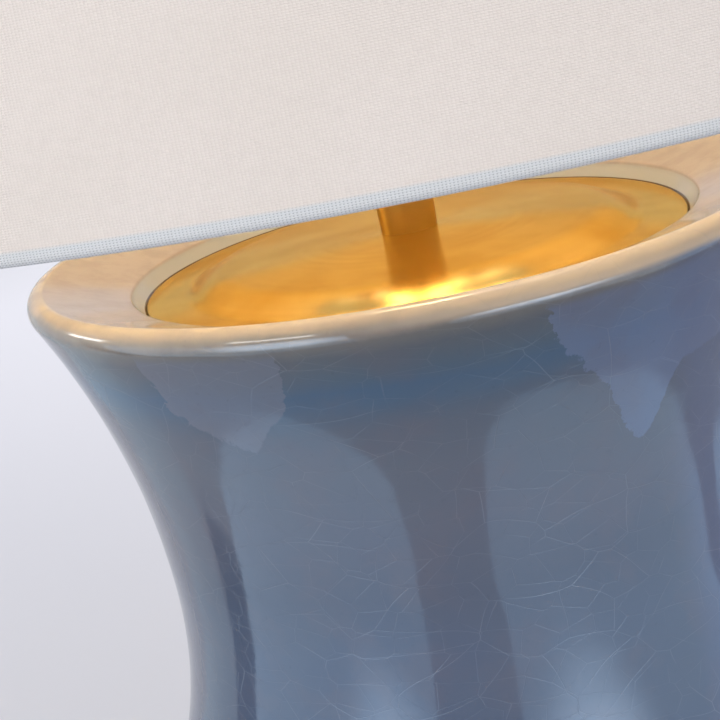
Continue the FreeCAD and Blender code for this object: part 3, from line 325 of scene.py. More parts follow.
lathe = bpy.data.node_groups.new("lathe", "GeometryNodeTree")
for name, kind in lathe_inputs.items():
    lathe.interface.new_socket(name, in_out="INPUT", socket_type="NodeSocket" + kind)
lathe.interface.new_socket("Geometry", in_out="OUTPUT", socket_type="NodeSocketGeometry")
add = partial(add_node, lathe)
given = dict(zip(lathe_inputs, add("NodeGroupInput", out=tuple(lathe_inputs))))
outline = add("GeometryNodeObjectInfo", {"Object": given["Outline"]}, out="Geometry")
shape = add("GeometryNodeMeshGrid", 1.0, 1.0, given["Steps round"], given["Points"])
place = add("GeometryNodeInputPosition")
shifted = add("VectorMath", place, (0.5, 0.5, 0.0))
way_round, way_along = add("SeparateXYZ", shifted, out=("X", "Y"))
last = add("Math", given["Points"], 1.0, **minus)
number = add("Math", add("Math", way_along, last, **times), operation="ROUND")


def read(value, kind):
    """The outline's own value at this point's number."""
    inputs = {"Geometry": outline, "Index": number, "Value": value}
    return add("GeometryNodeSampleIndex", inputs, data_type=kind, domain="POINT")


def stored(name):
    """A value that the mesh carries under this name."""
    return add("GeometryNodeInputNamedAttribute", {"Name": name}, data_type="FLOAT")


reach, height = add("SeparateXYZ", read(place, "FLOAT_VECTOR"), out=("X", "Z"))
angle = add("Math", way_round, math.tau, **times)
sine, cosine = (add("Math", angle, operation=name) for name in ("SINE", "COSINE"))
east, north = (add("Math", reach, share, **times) for share in (sine, cosine))
ring = add("CombineXYZ", east, north, height)
map_place = add("CombineXYZ", way_round, read(stored("along"), "FLOAT"))
wave_share = read(stored("wave"), "FLOAT")

moved = add("VectorMath", place, add("CombineXYZ", given["Seed"]))
frequency = add("Math", 1.0, given["Wave size"], operation="DIVIDE")
noise = add("TexNoise", moved, frequency, 1.0)
wave = add("MapRange", noise, 0.0, 1.0, -1.0, 1.0)
lift = add("Math", wave, given["Wave height"], **times)
lap_ends = (given["Overlap angle"], 0.0, 0.0, given["Overlap height"])
lap = add("MapRange", stored("round_share"), *lap_ends, **smooth)
raised = add("Math", add("Math", lift, lap), stored("wave_share"), **times)
normal = add("GeometryNodeInputNormal", out="Normal")
push = add("VectorMath", normal, raised, operation="SCALE")

on_corners, on_points = {"data_type": "FLOAT2", "domain": "CORNER"}, {"data_type": "FLOAT", "domain": "POINT"}
for kind, inputs, settings in (
    ("StoreNamedAttribute", {"Name": "UVMap", "Value": map_place}, on_corners),
    ("StoreNamedAttribute", {"Name": "wave_share", "Value": wave_share}, on_points),
    ("StoreNamedAttribute", {"Name": "round_share", "Value": way_round}, on_points),
    ("SetPosition", {"Position": ring}, {}),
    ("MergeByDistance", {"Distance": 1e-6}, {}),
    ("SetPosition", {"Offset": push}, {}),
    ("SetShadeSmooth", {}, {}),
    ("RealizeInstances", {}, {}),
    ("SetMaterial", {"Material": given["Finish"]}, {}),
):
    shape = add("GeometryNode" + kind, {"Geometry": shape, **inputs}, **settings)
add("NodeGroupOutput", {"Geometry": shape})
print("lathe tree with", len(lathe.nodes), "nodes")

# %% [markdown]
# The tree is worn by an empty object only while it works. Its inputs are set by the sockets' identifiers
# before the object is first evaluated, the result is copied into a plain mesh, and the helper objects go.

# %% Run a tree and keep its mesh


def bake_tree(tree, name, values):
    """A plain object with the mesh that the tree makes from these input values."""
    host = into_scene(name + "_host", bpy.data.meshes.new(name + "_host"))
    worker = host.modifiers.new("tree", "NODES")
    worker.node_group = tree
    for socket in tree.interface.items_tree:
        if socket.in_out == "INPUT":
            worker[socket.identifier] = values[socket.name]
    host.update_tag()
    depsgraph = bpy.context.evaluated_depsgraph_get()
    mesh = bpy.data.meshes.new_from_object(host.evaluated_get(depsgraph), depsgraph=depsgraph)
    host.modifiers.remove(worker)
    bpy.data.objects.remove(host)
    mesh.name = name
    for spare in ("wave_share", "round_share"):
        mesh.attributes.remove(mesh.attributes[spare])
    return into_scene(name, mesh)


def face_outwards(piece):
    """Turns the faces of a closed mesh the right way round, and returns its volume in litres."""
    work = bmesh.new()
    work.from_mesh(piece.data)
    if work.calc_volume(signed=True) < 0:
        bmesh.ops.reverse_faces(work, faces=work.faces[:])
        work.to_mesh(piece.data)
    litres = abs(work.calc_volume()) * 1000
    work.free()
    return litres


print("trees can be run")

# %% [markdown]
# An outline is a list of corners in millimetres. Each says how long the steps up to it are and how much of
# the waviness it takes. It may add the centre of the curve that leads to it, and how far its own edge is
# rounded, because light catches on a small arc where a sharp corner would look cut from paper.

# %% Draw an outline
corner_shares = (0.25, 0.5, 0.75, 1.0)


def sweep(start, end, centre):
    """Radius, first angle and signed turn of the arc from start to end."""
    first = math.atan2(start[1] - centre[1], start[0] - centre[0])
    last = math.atan2(end[1] - centre[1], end[0] - centre[0])
    return math.dist(start, centre), first, (last - first + math.pi) % math.tau - math.pi


def run_length(start, end, centre):
    """Length of the run from start to end, an arc if it has a centre and else a straight line."""
    if not centre:
        return math.dist(start, end)
    radius, _, turn = sweep(start, end, centre)
    return abs(turn) * radius


def run_point(start, end, centre, share):
    """The point this share of the way along a run."""
    if not centre:
        return between(start, end, share)
    radius, first, turn = sweep(start, end, centre)
    angle = first + turn * share
    return centre[0] + radius * math.cos(angle), centre[1] + radius * math.sin(angle)


def toward(start, end, centre, distance):
    """The point this far along a run."""
    return run_point(start, end, centre, distance / run_length(start, end, centre))


def outline_points(corners):
    """Points round a closed outline. A corner is (radius, height, step, wave[, centre[, rounding]])."""
    corners = [(*corner, None, 0)[:6] for corner in corners]
    points = []
    for number, corner in enumerate(corners):
        before, after = corners[number - 1], corners[(number + 1) % len(corners)]
        start, end = before[:2], corner[:2]
        _, _, step, wave, centre, rounding = corner
        if before[5]:
            start = toward(start, end, centre, before[5])
        stop = toward(end, start, centre, rounding) if rounding else end
        count = max(2 if centre else 1, math.ceil(run_length(start, stop, centre) / step))
        points += [(*run_point(start, stop, centre, n / count), wave) for n in range(1, count + 1)]
        if rounding:
            leave = toward(end, after[:2], after[4], rounding)
            for share in corner_shares:
                bend = between(between(stop, end, share), between(end, leave, share), share)
                points.append((*bend, wave))
    return points


print("outlines can be drawn")

# %% Turn an outline into a piece


def turn_outline(name, corners, finish, steps, wave_height, wave_size, seed, overlap=(0.0, 0.1)):
    """A turned piece from an outline's corners, closed round the axis."""
    points = outline_points(corners)
    points.append(points[0])
    lengths = [0.0]
    for one, two in zip(points, points[1:]):
        lengths.append(lengths[-1] + mm(math.dist(one[:2], two[:2])))
    mesh = bpy.data.meshes.new(name + "_outline")
    edges = [(number, number + 1) for number in range(len(points) - 1)]
    mesh.from_pydata([(mm(x), 0, mm(z)) for x, z, _ in points], edges, [])
    for label, numbers in (("wave", [wave for _, _, wave in points]), ("along", lengths)):
        mesh.attributes.new(label, "FLOAT", "POINT").data.foreach_set("value", numbers)
    drawn = into_scene(name + "_outline", mesh)
    values = {
        "Outline": drawn,
        "Points": len(points),
        "Steps round": steps + 1,
        "Wave height": mm(wave_height),
        "Wave size": mm(wave_size),
        "Overlap height": mm(overlap[0]),
        "Overlap angle": overlap[1],
        "Seed": seed,
        "Finish": finish,
    }
    piece = bake_tree(lathe, name, values)
    bpy.data.objects.remove(drawn)
    print(name, "has", len(piece.data.polygons), "faces and", round(face_outwards(piece), 3), "litres")
    return piece


print("outlines can be turned")

# %% [markdown]
# ## Finishes
#
# Each finish starts from the real material and how its surface was made. A noise's scale is one over the
# size of its grains, which is given in millimetres. Where one pattern drives colour, roughness and relief
# together, the surface reads as one material and not as paint.

# %% Small sums that several finishes share


def swing(add, noise, reach):
    """A noise as a swing about zero, this far from end to end."""
    return add("Math", add("Math", noise, 0.5, **minus), reach, **times)


def from_axis(add, place):
    """How far a place is from the lamp's axis."""
    flat = add("VectorMath", place, (1.0, 1.0, 0.0), **times)
    return add("VectorMath", flat, operation="LENGTH")


def from_front(add, x, y):
    """The angle round the lamp, from zero at its front."""
    return add("Math", x, add("Math", y, -1.0, **times), operation="ARCTAN2")


def surface(add, shader, tone, roughness, height, depth_mm):
    """Gives the shader its colour and roughness, and relief this deep between the height's 0 and 1."""
    bump = add("Bump", {"Height": height, "Distance": mm(depth_mm)})
    fill(shader, {"Base Color": tone, "Roughness": roughness, "Normal": bump})


print("finish helpers ready")

# %% [markdown]
# ### Crackle glaze on stoneware
#
# The glaze is a thick blue-grey glass over a pale clay. On the crest of the lip it ran thin and the clay
# shows cream, whose warm tone is partly painted light from the bulb. Under the lip a deeper blue band is
# partly glaze gathered there and partly a painted reflection of the shadowed floor. Its tones follow the
# height, moved by noise.

# %% Band the glaze by height
glaze, add, shader = new_finish("crackle_glazed_stoneware")
place = add("TexCoord", out="Object")
x, y, z = add("SeparateXYZ", place, out=("X", "Y", "Z"))
slow = add("TexNoise", place, 1 / mm(45), 2.0, 0.55)
mid = add("TexNoise", place, 1 / mm(9), 4.0, 0.6)
fine = add("TexNoise", place, 1 / mm(1.6), 3.0, 0.6)

ragged = swing(add, mid, mm(2))
wandering = add("Math", z, add("Math", swing(add, slow, mm(5)), ragged))
low_edge, high_edge = 310.0, 410.0
# Partly painted: the warm cream at 406.6 and 408 mm is partly painted bulb light, and the deep blue from 382
# to 393 mm is partly a painted reflection of the shadowed floor.
glaze_and_painted_light_tones = [
    (312, "#53617B"), (330, "#525D74"), (350, "#5D6579"), (366, "#5F687A"), (378, "#5B677B"),
    (382, "#54667E"), (385, "#4D6784"), (389, "#486686"), (393, "#51677E"), (399, "#5F6975"),
    (402.5, "#7D7C7A"), (404, "#A09A93"), (405.5, "#BBB6AD"), (406.6, "#D8CAB8"), (408, "#E8D6BA"),
]
banded = add("ValToRGB", add("MapRange", wandering, mm(low_edge), mm(high_edge)))
stops = banded.node.color_ramp.elements
for number, (height, code) in enumerate(glaze_and_painted_light_tones):
    spot = (height - low_edge) / (high_edge - low_edge)
    stop = stops[number] if number < 2 else stops.new(spot)
    stop.position, stop.color = spot, colour(code)
print("glaze tones:", len(glaze_and_painted_light_tones))

# %% [markdown]
# Over the blue band paler curtains of glaze ran down and stopped in jagged tips. A curve holds the height of
# their edge for each angle round the vase. Two stand where the photograph shows them, the others are made up,
# and fine noise frays the edge.

# %% Let the paler curtains run down under the lip
curtain_edge = [
    (-180, 386), (-166, 379), (-150, 390), (-131, 376), (-112, 384), (-96, 372), (-80, 389), (-62, 398),
    (-52, 412), (-41.2, 412), (-40.3, 401), (-40, 383.5), (-39.4, 382), (-39.3, 392), (-37.5, 381),
    (-34.7, 379.5), (-30.6, 376.4), (-28.1, 373.6), (-26.6, 376), (-24.2, 381.3), (-22.5, 382.9),
    (-20.7, 385.6), (-19.8, 389), (-19.4, 394.3), (-18.8, 401), (-18.3, 412), (13.2, 412), (14.2, 399),
    (14.9, 394.6), (16.2, 389.8), (18.4, 385.4), (20.8, 380.6), (23.1, 377.6), (23.8, 373), (25, 367.5),
    (27.1, 361.9), (29, 358), (30.7, 359.7), (32.2, 363), (32.9, 367.6), (34.6, 370), (35.2, 372.6),
    (36.3, 375), (38.9, 375.7), (44.8, 376.4), (52, 385), (66, 376), (80, 384), (97, 369), (118, 386),
    (139, 378), (160, 391), (180, 386),
]
curve_foot, curve_span, curtain_depth = 340, 80, 0.62

jag = add("TexNoise", place, 1 / mm(3.2), 4.0, 0.65)
frayed = add("Math", swing(add, jag, 0.05), from_front(add, x, y))
edge = add("FloatCurve", {"Value": add("MapRange", frayed, -math.pi, math.pi)})
curve = edge.node.mapping.curves[0]
edge_spots = [((angle + 180) / 360, (height - curve_foot) / curve_span) for angle, height in curtain_edge]
curve.points[0].location, curve.points[-1].location = edge_spots[0], edge_spots[-1]
for spot in edge_spots[1:-1]:
    curve.points.new(*spot)
for point in curve.points:
    point.handle_type = "VECTOR"
edge.node.mapping.update()

edge_height = add("Math", edge, mm(curve_span), mm(curve_foot), **times_plus)
frayed_height = add("Math", swing(add, jag, mm(4)), z)
over_edge = add("Math", frayed_height, edge_height, **minus)
curtain = add("MapRange", over_edge, mm(-0.5), mm(0.5), 0.0, curtain_depth, **smooth)
under_lip = add("MapRange", z, mm(402.5), mm(399.5), **smooth)
curtain_share = add("Math", curtain, under_lip, **times)
rightwards = add("MapRange", x, mm(-50), mm(60), **smooth)
curtain_tone = add("Mix", rightwards, "#747C90", "#7287B1", **colours)
toned = add("Mix", curtain_share, banded, curtain_tone, **colours)
print("curtain corners:", len(curtain_edge))

# %% [markdown]
# No glaze is even. Broad clouds change its blue, warmer ones drift through it, and fine dark specks float in
# it.
# On the right it is painted bluer, as a painted reflection of the bluish light it mirrors there. On the right
# of the lip the crest is painted paler, as painted light where more light falls on it. Each is one more tone,
# laid on where its pattern is strong.

# %% Mottle the glaze
clouds = add("TexNoise", place, 1 / mm(21), 3.0, 0.55)
stains_and_painted_reflection = [
    # (pattern, where it starts, where it is full, how strong it gets, tone)
    (slow, 0.38, 0.62, 0.12, "#66727F"),
    (clouds, 0.45, 0.65, 0.22, "#6B6673"),
    # Painted reflection: a bluer tone on the right of the vase.
    (x, mm(50), mm(64), 0.6, "#606F96"),
    (fine, 0.6, 0.8, 0.12, "#2E3A4C"),
]
for pattern, start, full, most, code in stains_and_painted_reflection:
    stain_and_reflection_share = add("MapRange", pattern, start, full, 0.0, most, **smooth)
    toned = add("Mix", stain_and_reflection_share, toned, code, **colours)

# Painted light: the crest on the right of the lip is painted paler cream, where more light falls on it.
painted_light_right = add("MapRange", x, mm(-25), mm(40), 0.0, 0.9, **smooth)
crest_share = add("MapRange", z, mm(403), mm(404.8), **smooth)
painted_lip_light = add("Math", painted_light_right, crest_share, **times)
toned = add("Mix", painted_lip_light, toned, "#E9DDCB", **colours)
print("stains:", len(stains_and_painted_reflection))

# %% [markdown]
# Inside the lip the shelf slopes down to the pan under a thin pale glaze. The recess wall is paler still, and
# a brown line at its foot is painted shadow in the narrow gap against the brass.

# %% Glaze the shelf and the recess
radius = from_axis(add, place)
shelf_reach = add("MapRange", radius, mm(104.4), mm(103.6), **smooth)
shelf_level = add("MapRange", z, mm(393), mm(394.5), **smooth)
shelf_share = add("Math", shelf_reach, shelf_level, **times)
shelf_mottle = add("MapRange", mid, 0.4, 0.65, **smooth)
shelf_tone = add("Mix", shelf_mottle, "#C6B9B1", "#BCAFA7", **colours)
in_recess = add("MapRange", radius, mm(81.0), mm(80.4), **smooth)
# Painted shadow: a brown line at the foot of the recess wall, in the gap against the brass.
painted_gap_shadow = add("MapRange", z, mm(396.25), mm(395.95), **smooth)
recess_and_gap_shadow_tone = add("Mix", painted_gap_shadow, "#BEC3C4", "#4A2E14", **colours)
inner_tone = add("Mix", in_recess, shelf_tone, recess_and_gap_shadow_tone, **colours)
toned = add("Mix", shelf_share, toned, inner_tone, **colours)
print("shelf and recess glazed")

# %% [markdown]
# As it cooled the glaze cracked, first into cells of 12 to 21 mm and later into a finer net of 6 to 11 mm.
# The hairlines are the edges of Voronoi cells on the vase's own map, bent by slow noise so that they wander.
# They are drawn 0.10 to 0.14 mm wide, a little wider than real ones so that they show, and very faint.

# %% Crack the glaze
crack_nets = [
    # (cell width, cell height, line width, boldest, shift)
    (21.0, 12.0, 0.14, 0.13, 0.0),
    (11.0, 6.5, 0.10, 0.09, 7.0),
]
girth = math.tau * 100
own_map = add("UVMap", uv_map="UVMap")
bend = add("TexNoise", place, 1 / mm(40), 1.0, out="Color")
centred = add("VectorMath", bend, (0.5, 0.5, 0.5), **minus)
bent = add("VectorMath", centred, 1.4, operation="SCALE")
crack = 0.0
for cell_width, cell_height, line_width, boldest, shift in crack_nets:
    stretch = (girth / cell_width, 1000 / cell_height, 1.0)
    unrolled = add("Mapping", {"Vector": own_map, "Scale": stretch, "Location": (shift, shift, 0.0)})
    crack_place = add("VectorMath", unrolled, bent)
    cells = add("TexVoronoi", crack_place, 1.0, feature="DISTANCE_TO_EDGE", voronoi_dimensions="2D")
    line_half = line_width / 2 / cell_height
    line = add("MapRange", cells, line_half * 1.6, line_half * 0.4, **smooth)
    patchy = add("TexNoise", place, 1 / mm(cell_width * 0.8), 2.0, 0.55)
    faint = add("MapRange", patchy, 0.38, 0.62, 0.01, boldest, **smooth)
    toned = add("Mix", add("Math", line, faint, **times), toned, "#A8B2C0", **colours)
    crack = add("Math", crack, line, operation="MAXIMUM")
print("nets of hairlines:", len(crack_nets))

# %% [markdown]
# At the foot ring the glaze stops a few millimetres over the felt, and the bare clay is matt and sandy.
# Elsewhere the glaze is nearly a mirror, with a soft ripple and its cracks a hair's breadth deep.

# %% Bare the clay at the foot and finish the glaze
foot_line = add("Math", z, ragged)
bare = add("MapRange", foot_line, mm(5.2), mm(4.4), **smooth)
sandy = add("MapRange", fine, 0.4, 0.6, **smooth)
clay_tone = add("Mix", sandy, "#CDBFA9", "#BCAA90", **colours)
toned = add("Mix", bare, toned, clay_tone, **colours)
sheen = add("MapRange", mid, 0.3, 0.7, 0.05, 0.10, **smooth)
bare_sheen = add("Math", bare, 0.8, **times)
roughness = add("Math", sheen, bare_sheen, operation="MAXIMUM")
ripple = add("Math", fine, 0.12, add("Math", mid, 0.9, **times), **times_plus)
crack_depth = add("Math", crack, 0.35, **times)
fill(shader, {"IOR": 1.5})
surface(add, shader, toned, roughness, add("Math", ripple, crack_depth, **minus), 0.035)
print("glaze made")

# %% [markdown]
# ### Brass and the other metals
#
# Spun and polished brass is a mirror with the last traces of the spinning: fine rings and a slow change of
# sheen where it was handled. Turned fittings are satin, because their tool marks are left on. One function
# makes every metal from its tones, its sheen, its grain and how far that is drawn out. Lacquer gives the
# brass yellow edges.

# %% Make the metals
cloud_size = 28


def metal(name, tones, sheen, grain_mm, depth_mm, stretch=(1, 1, 1), rings=False, edge_tint=(1, 1, 1, 1)):
    """A metal whose grain is drawn out by stretch, or runs in rings round the axis."""
    finish, add, shader = new_finish(name)
    place = add("TexCoord", out="Object")
    clouds = add("TexNoise", place, 1 / mm(cloud_size), 3.0, 0.55)
    if rings:
        z = add("SeparateXYZ", place, out="Z")
        line = add("CombineXYZ", from_axis(add, place), add("Math", z, 0.5, **times))
        marks = add("TexNoise", line, 1 / mm(grain_mm), 3.0, 0.7)
    else:
        drawn = add("Mapping", {"Vector": place, "Scale": stretch})
        marks = add("TexNoise", drawn, 1 / mm(grain_mm), 4.0, 0.6)
    handled = add("MapRange", clouds, 0.35, 0.7, **smooth)
    tone = add("Mix", handled, *tones[:2], **colours)
    marked = add("MapRange", marks, 0.3, 0.8, 0.0, 0.25, **smooth)
    tone = add("Mix", marked, tone, tones[2], **colours)
    half_clouds = add("Math", clouds, 0.5, **times)
    sheen_share = add("Math", marks, 0.5, half_clouds, **times_plus)
    fill(shader, {"Metallic": 1.0, "Specular Tint": edge_tint})
    roughness = add("MapRange", sheen_share, 0.3, 0.7, *sheen, **smooth)
    surface(add, shader, tone, roughness, marks, depth_mm)
    return finish


lacquer = "#FFEEC1"
polished = {"rings": True, "edge_tint": lacquer}
turned, rolled, drawn_wire = (1, 1, 9), (1, 1, 8), (9, 9, 1)
polished_tones = ("#E4AF57", "#DBA54F", "#C48C3E")
polished_brass = metal("spun_polished_brass", polished_tones, (0.26, 0.33), 1.4, 0.0015, **polished)
satin_tones = ("#C9A75F", "#BF9B54", "#9F7B3C")
satin_brass = metal("turned_satin_brass", satin_tones, (0.28, 0.36), 0.5, 0.006, turned, edge_tint=lacquer)
harp_tones = ("#DDB265", "#D0A052", "#A97C38")
harp_brass = metal("drawn_brass_wire", harp_tones, (0.22, 0.34), 0.4, 0.006, drawn_wire)
plated_steel = metal("zinc_plated_steel", ("#B9BCBF", "#AEB1B5", "#8F9296"), (0.28, 0.42), 0.8, 0.006)
wire_tones = ("#C3C5C8", "#B5B8BB", "#94979B")
bright_steel = metal("drawn_steel_wire", wire_tones, (0.20, 0.32), 0.5, 0.005, drawn_wire)
aluminium_tones = ("#C9CBCD", "#BFC1C4", "#A4A6A9")
rolled_aluminium = metal("rolled_aluminium", aluminium_tones, (0.25, 0.36), 0.6, 0.006, rolled)
soldered_tin = metal("tin_solder", ("#B4B6B8", "#A8AAAD", "#8C8E91"), (0.3, 0.45), 1.2, 0.02)
print("metals made")

# %% [markdown]
# The pan was spun, so its fine grooves run round it and spread a highlight across themselves. It is smooth
# enough to mirror the neck, and where its dome rolls down at the edge it mirrors the bulb, as a glow below
# the neck that this spread draws out. The map of the turned pieces runs round and so do the grooves, so the
# shader's tangent comes from that map, a quarter turned.

# %% Spin the pan's brass
spun_brass = metal("spun_pan_brass", ("#F2C771", "#E1AF55", "#D8A650"), (0.20, 0.26), 4.0, 0.0005, **polished)
grooves = add_node(spun_brass.node_tree, "Tangent", direction_type="UV_MAP", uv_map="UVMap")
grooved = {"Tangent": grooves, "Anisotropic": 0.85, "Anisotropic Rotation": 0.25}
fill(spun_brass.node_tree.nodes["Principled BSDF"], grooved)
print("spun brass made")

# %% [markdown]
# ### Linen
#
# The cover is a plain weave: each weft thread goes over one warp thread and under the next. The
# photograph shows threads 0.61 mm apart round the shade and 0.42 mm apart up it. Thread heights come
# from sines of the way round and the way up, and a chequer says which thread is on top. Real linen has slubs,
# so noise drawn out along each thread changes its thickness and tone. The rolled hem is one layer round a
# wire that no bulb light comes through, so its greyer tone is painted shade, with rows of dark dots painted
# as shade in the holes between the threads.

# %% Weave the cloth
thread_gap = 0.415
threads_round = 2132
thread_shift, slub_scale = 4.07, 0.12

linen, add, shader = new_finish("plain_weave_linen")
place = add("TexCoord", out="Object")
x, y, z = add("SeparateXYZ", place, out=("X", "Y", "Z"))
warp = add("Math", from_front(add, x, y), threads_round / math.tau, **times)
weft = add("Math", z, mm(thread_gap), operation="DIVIDE")
threads, rounds, numbers = (warp, weft), [], []
for thread in threads:
    sine = add("Math", add("Math", thread, math.pi, **times), operation="SINE")
    rounds.append(add("Math", sine, operation="ABSOLUTE"))
    numbers.append(add("Math", thread, operation="FLOOR"))
heights, slubs, gaps = [], [], []
for own, other in ((0, 1), (1, 0)):
    dip = add("Math", rounds[other], 0.5, 0.5, **times_plus)
    heights.append(add("Math", rounds[own], dip, **times))
    line = add("CombineXYZ", add("Math", numbers[own], thread_shift, **times), threads[other])
    slubs.append(add("TexNoise", line, slub_scale, 3.0))
    gaps.append(add("Math", 1.0, rounds[own], **minus))
chequer = add("Math", add("Math", *numbers), 2.0, operation="FLOORED_MODULO")
height, slub = (add("Mix", chequer, *pair, data_type="FLOAT") for pair in (heights, slubs))
holes = add("Math", *gaps, **times)
print("cloth woven,", threads_round, "threads round")

# %% Colour the linen
clouds = add("TexNoise", place, 1 / mm(60), 2.0, 0.55)
cloudy = add("MapRange", clouds, 0.35, 0.65, **smooth)
toned = add("Mix", cloudy, "#EDE4DE", "#E9E0D9", **colours)
slubbed = add("MapRange", slub, 0.35, 0.75, 0.0, 0.35, **smooth)
toned = add("Mix", slubbed, toned, "#DDD4CE", **colours)
# Painted shade: the dips between the threads are darkened.
painted_dip_shade = add("MapRange", height, 0.5, 0.1, 0.0, 0.30, **smooth)
toned = add("Mix", painted_dip_shade, toned, "#CFC5BE", **colours)
# Painted shade: the hem is painted greyer, as no bulb light comes through it, and the holes between its
# threads are painted dark.
hem_line = add("Math", swing(add, clouds, mm(0.8)), z)
hem_share = add("MapRange", hem_line, mm(453.2), mm(452.3), **smooth)
painted_hole_shade = add("MapRange", holes, 0.12, 0.6, **smooth)
painted_hem_shade_tone = add("Mix", painted_hole_shade, "#DBDEE1", "#A9AEB3", **colours)
toned = add("Mix", hem_share, toned, painted_hem_shade_tone, **colours)

# A little sheen from loose fibres, and a little warm light that comes through from the bulb.
fill(shader, {"Specular IOR Level": 0.25, "Sheen Weight": 0.08})
fill(shader, {"Emission Color": "#FFE9D2", "Emission Strength": 0.05})
thickness = add("Math", slub, 0.5, height, **times_plus)
surface(add, shader, toned, 0.88, thickness, 0.08)
print("linen made")

# %% [markdown]
# ### Plastics, rubber, card, felt and glass
#
# Each of the rest has the grain that its making leaves: the mould's spark texture on the rubber and the
# phenolic, the pressed fibres of the card and the felt, and the inner frosting of the bulb. The bulb is
# bright and warm, because the lamp is lit in the photograph.

# %% Make the other finishes


def plain_finish(name, tones, sheen, grain_mm, depth_mm, stretch=(1, 1, 1)):
    """A finish that isn't metal, from two close tones and its grain."""
    finish, add, shader = new_finish(name)
    drawn = add("Mapping", {"Vector": add("TexCoord", out="Object"), "Scale": stretch})
    marks = add("TexNoise", drawn, 1 / mm(grain_mm), 4.0, 0.6)
    share = add("MapRange", marks, 0.3, 0.7, **smooth)
    tone = add("Mix", share, *tones, **colours)
    roughness = add("MapRange", marks, 0.3, 0.7, *sheen, **smooth)
    surface(add, shader, tone, roughness, marks, depth_mm)
    return finish


styrene = plain_finish("pressed_styrene_liner", ("#E6DECF", "#E0D7C6"), (0.50, 0.62), 2.5, 0.02)
rubber = plain_finish("moulded_black_rubber", ("#1E1D1C", "#272524"), (0.55, 0.70), 0.5, 0.03)
felt_cloth = plain_finish("pressed_wool_felt", ("#3F4A3C", "#2F382D"), (0.92, 1.0), 0.6, 0.25)
phenolic = plain_finish("moulded_phenolic", ("#2A1E19", "#1F1613"), (0.25, 0.38), 1.4, 0.01)
fibre_card = plain_finish("vulcanised_fibre_card", ("#B9AE9B", "#A79B86"), (0.80, 0.92), 0.8, 0.04, (1, 1, 4))
dark_glass = plain_finish("fused_black_glass", ("#14141A", "#1C1C22"), (0.10, 0.18), 3.0, 0.02)

bulb_light = plain_finish("frosted_lit_glass", ("#F7F1E6", "#F1EADC"), (0.30, 0.42), 4.0, 0.01)
lit = {"Emission Color": "#FFE3B5", "Emission Strength": 22.0}
fill(bulb_light.node_tree.nodes["Principled BSDF"], lit)
print("other finishes made")

# %% [markdown]
# ## The vase
#
# The vase is cast in one piece and glazed. Its side is five arcs that meet without a kink: foot, belly,
# waist, flare and the roll of the lip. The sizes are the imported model's, so the new surface lies on the
# solid; only the recess wall leans in more, to the brass. The outside waves by a third of a millimetre, as a
# thick glaze does, which makes the reflections wander.

# %% Measure the vase
foot_height, wall = 2.0, 7.0
recess, recess_foot, ledge_height, ledge_thickness, mouth = 80.7, 76.9, 394.9, 7.0, 66.0
lip, lip_roll, shelf_slope, shelf_edge = (109.0, 404.0), 4.0, math.radians(18), 1.0
waist, belly, foot_top, turn_share = (88.0, 310.0), (127.0, 174.0), (80.0, 22.0), 0.57
foot_hollow, hollow_top, floor_top, floor_hole, foot_edge = 66.0, 24.0, 32.0, 14.0, 2.0


def upright_radius(far, near):
    """Radius of the arc through both points that stands upright at far."""
    reach, rise = far[0] - near[0], far[1] - near[1]
    return (reach * reach + rise * rise) / (reach * 2)


def upright_centre(far, near):
    """Centre of that arc, level with far."""
    return far[0] - upright_radius(far, near), far[1]


lip_end = between(lip, waist, lip_roll / upright_radius(lip, waist))
turn = between(waist, belly, turn_share)
flare_centre, waist_centre = upright_centre(waist, lip_end), upright_centre(waist, turn)
belly_centre, taper_centre = upright_centre(belly, turn), upright_centre(belly, foot_top)
under = ledge_height - ledge_thickness
inner_flare = flare_centre[0] - waist[0] + wall
inner_lip = flare_centre[0] - math.sqrt(inner_flare**2 - (under - waist[1]) ** 2)
inner_taper = belly[0] - wall - taper_centre[0]
inner_foot = taper_centre[0] + math.sqrt(inner_taper**2 - (belly[1] - floor_top) ** 2)
lip_centre = (lip[0] - lip_roll, lip[1])
crest = (lip_centre[0] - lip_roll * math.sin(shelf_slope), lip_centre[1] + lip_roll * math.cos(shelf_slope))
shelf_low = crest[1] - (crest[0] - recess) * math.tan(shelf_slope)
cut = shelf_edge * math.tan((math.pi / 2 - shelf_slope) / 2)
print("vase measured, crest of the lip at", round(crest[1], 2), "mm")

# %% Turn the vase
vase_corners = [
    (mouth, ledge_height, 4, 0, None, 0.4),
    (mouth, under, 4, 0, None, 0.4),
    (inner_lip, under, 8, 0),
    (waist[0] - wall, waist[1], 9, 0, flare_centre),
    (turn[0] - wall, turn[1], 9, 0, (waist_centre[0] - wall, waist[1])),
    (belly[0] - wall, belly[1], 9, 0, (belly_centre[0] - wall, belly[1])),
    (inner_foot, floor_top, 9, 0, taper_centre),
    (floor_hole, floor_top, 16, 0, None, 0.5),
    (floor_hole, hollow_top, 4, 0, None, 0.5),
    (foot_hollow, hollow_top, 13, 0),
    (foot_hollow, foot_height, 5, 0, None, 0.5),
    (foot_top[0] - foot_edge, foot_height, 4, 0),
    (foot_top[0], foot_height + foot_edge, 0.8, 0, (foot_top[0] - foot_edge, foot_height + foot_edge)),
    (*foot_top, 2.4, 0.3),
    (*belly, 2.4, 1, taper_centre),
    (*turn, 2.4, 1, belly_centre),
    (*waist, 2.4, 1, waist_centre),
    (*lip_end, 2.2, 1, flare_centre),
    (*lip, 0.8, 0.6, lip_centre),
    (*crest, 0.6, 0.5, lip_centre),
    (recess + cut * math.cos(shelf_slope), shelf_low + cut * math.sin(shelf_slope), 1.6, 0.5),
    (recess, shelf_low - cut, 0.3, 0, (recess + shelf_edge, shelf_low - cut)),
    (recess_foot, ledge_height, 1.6, 0, None, 0.3),
]
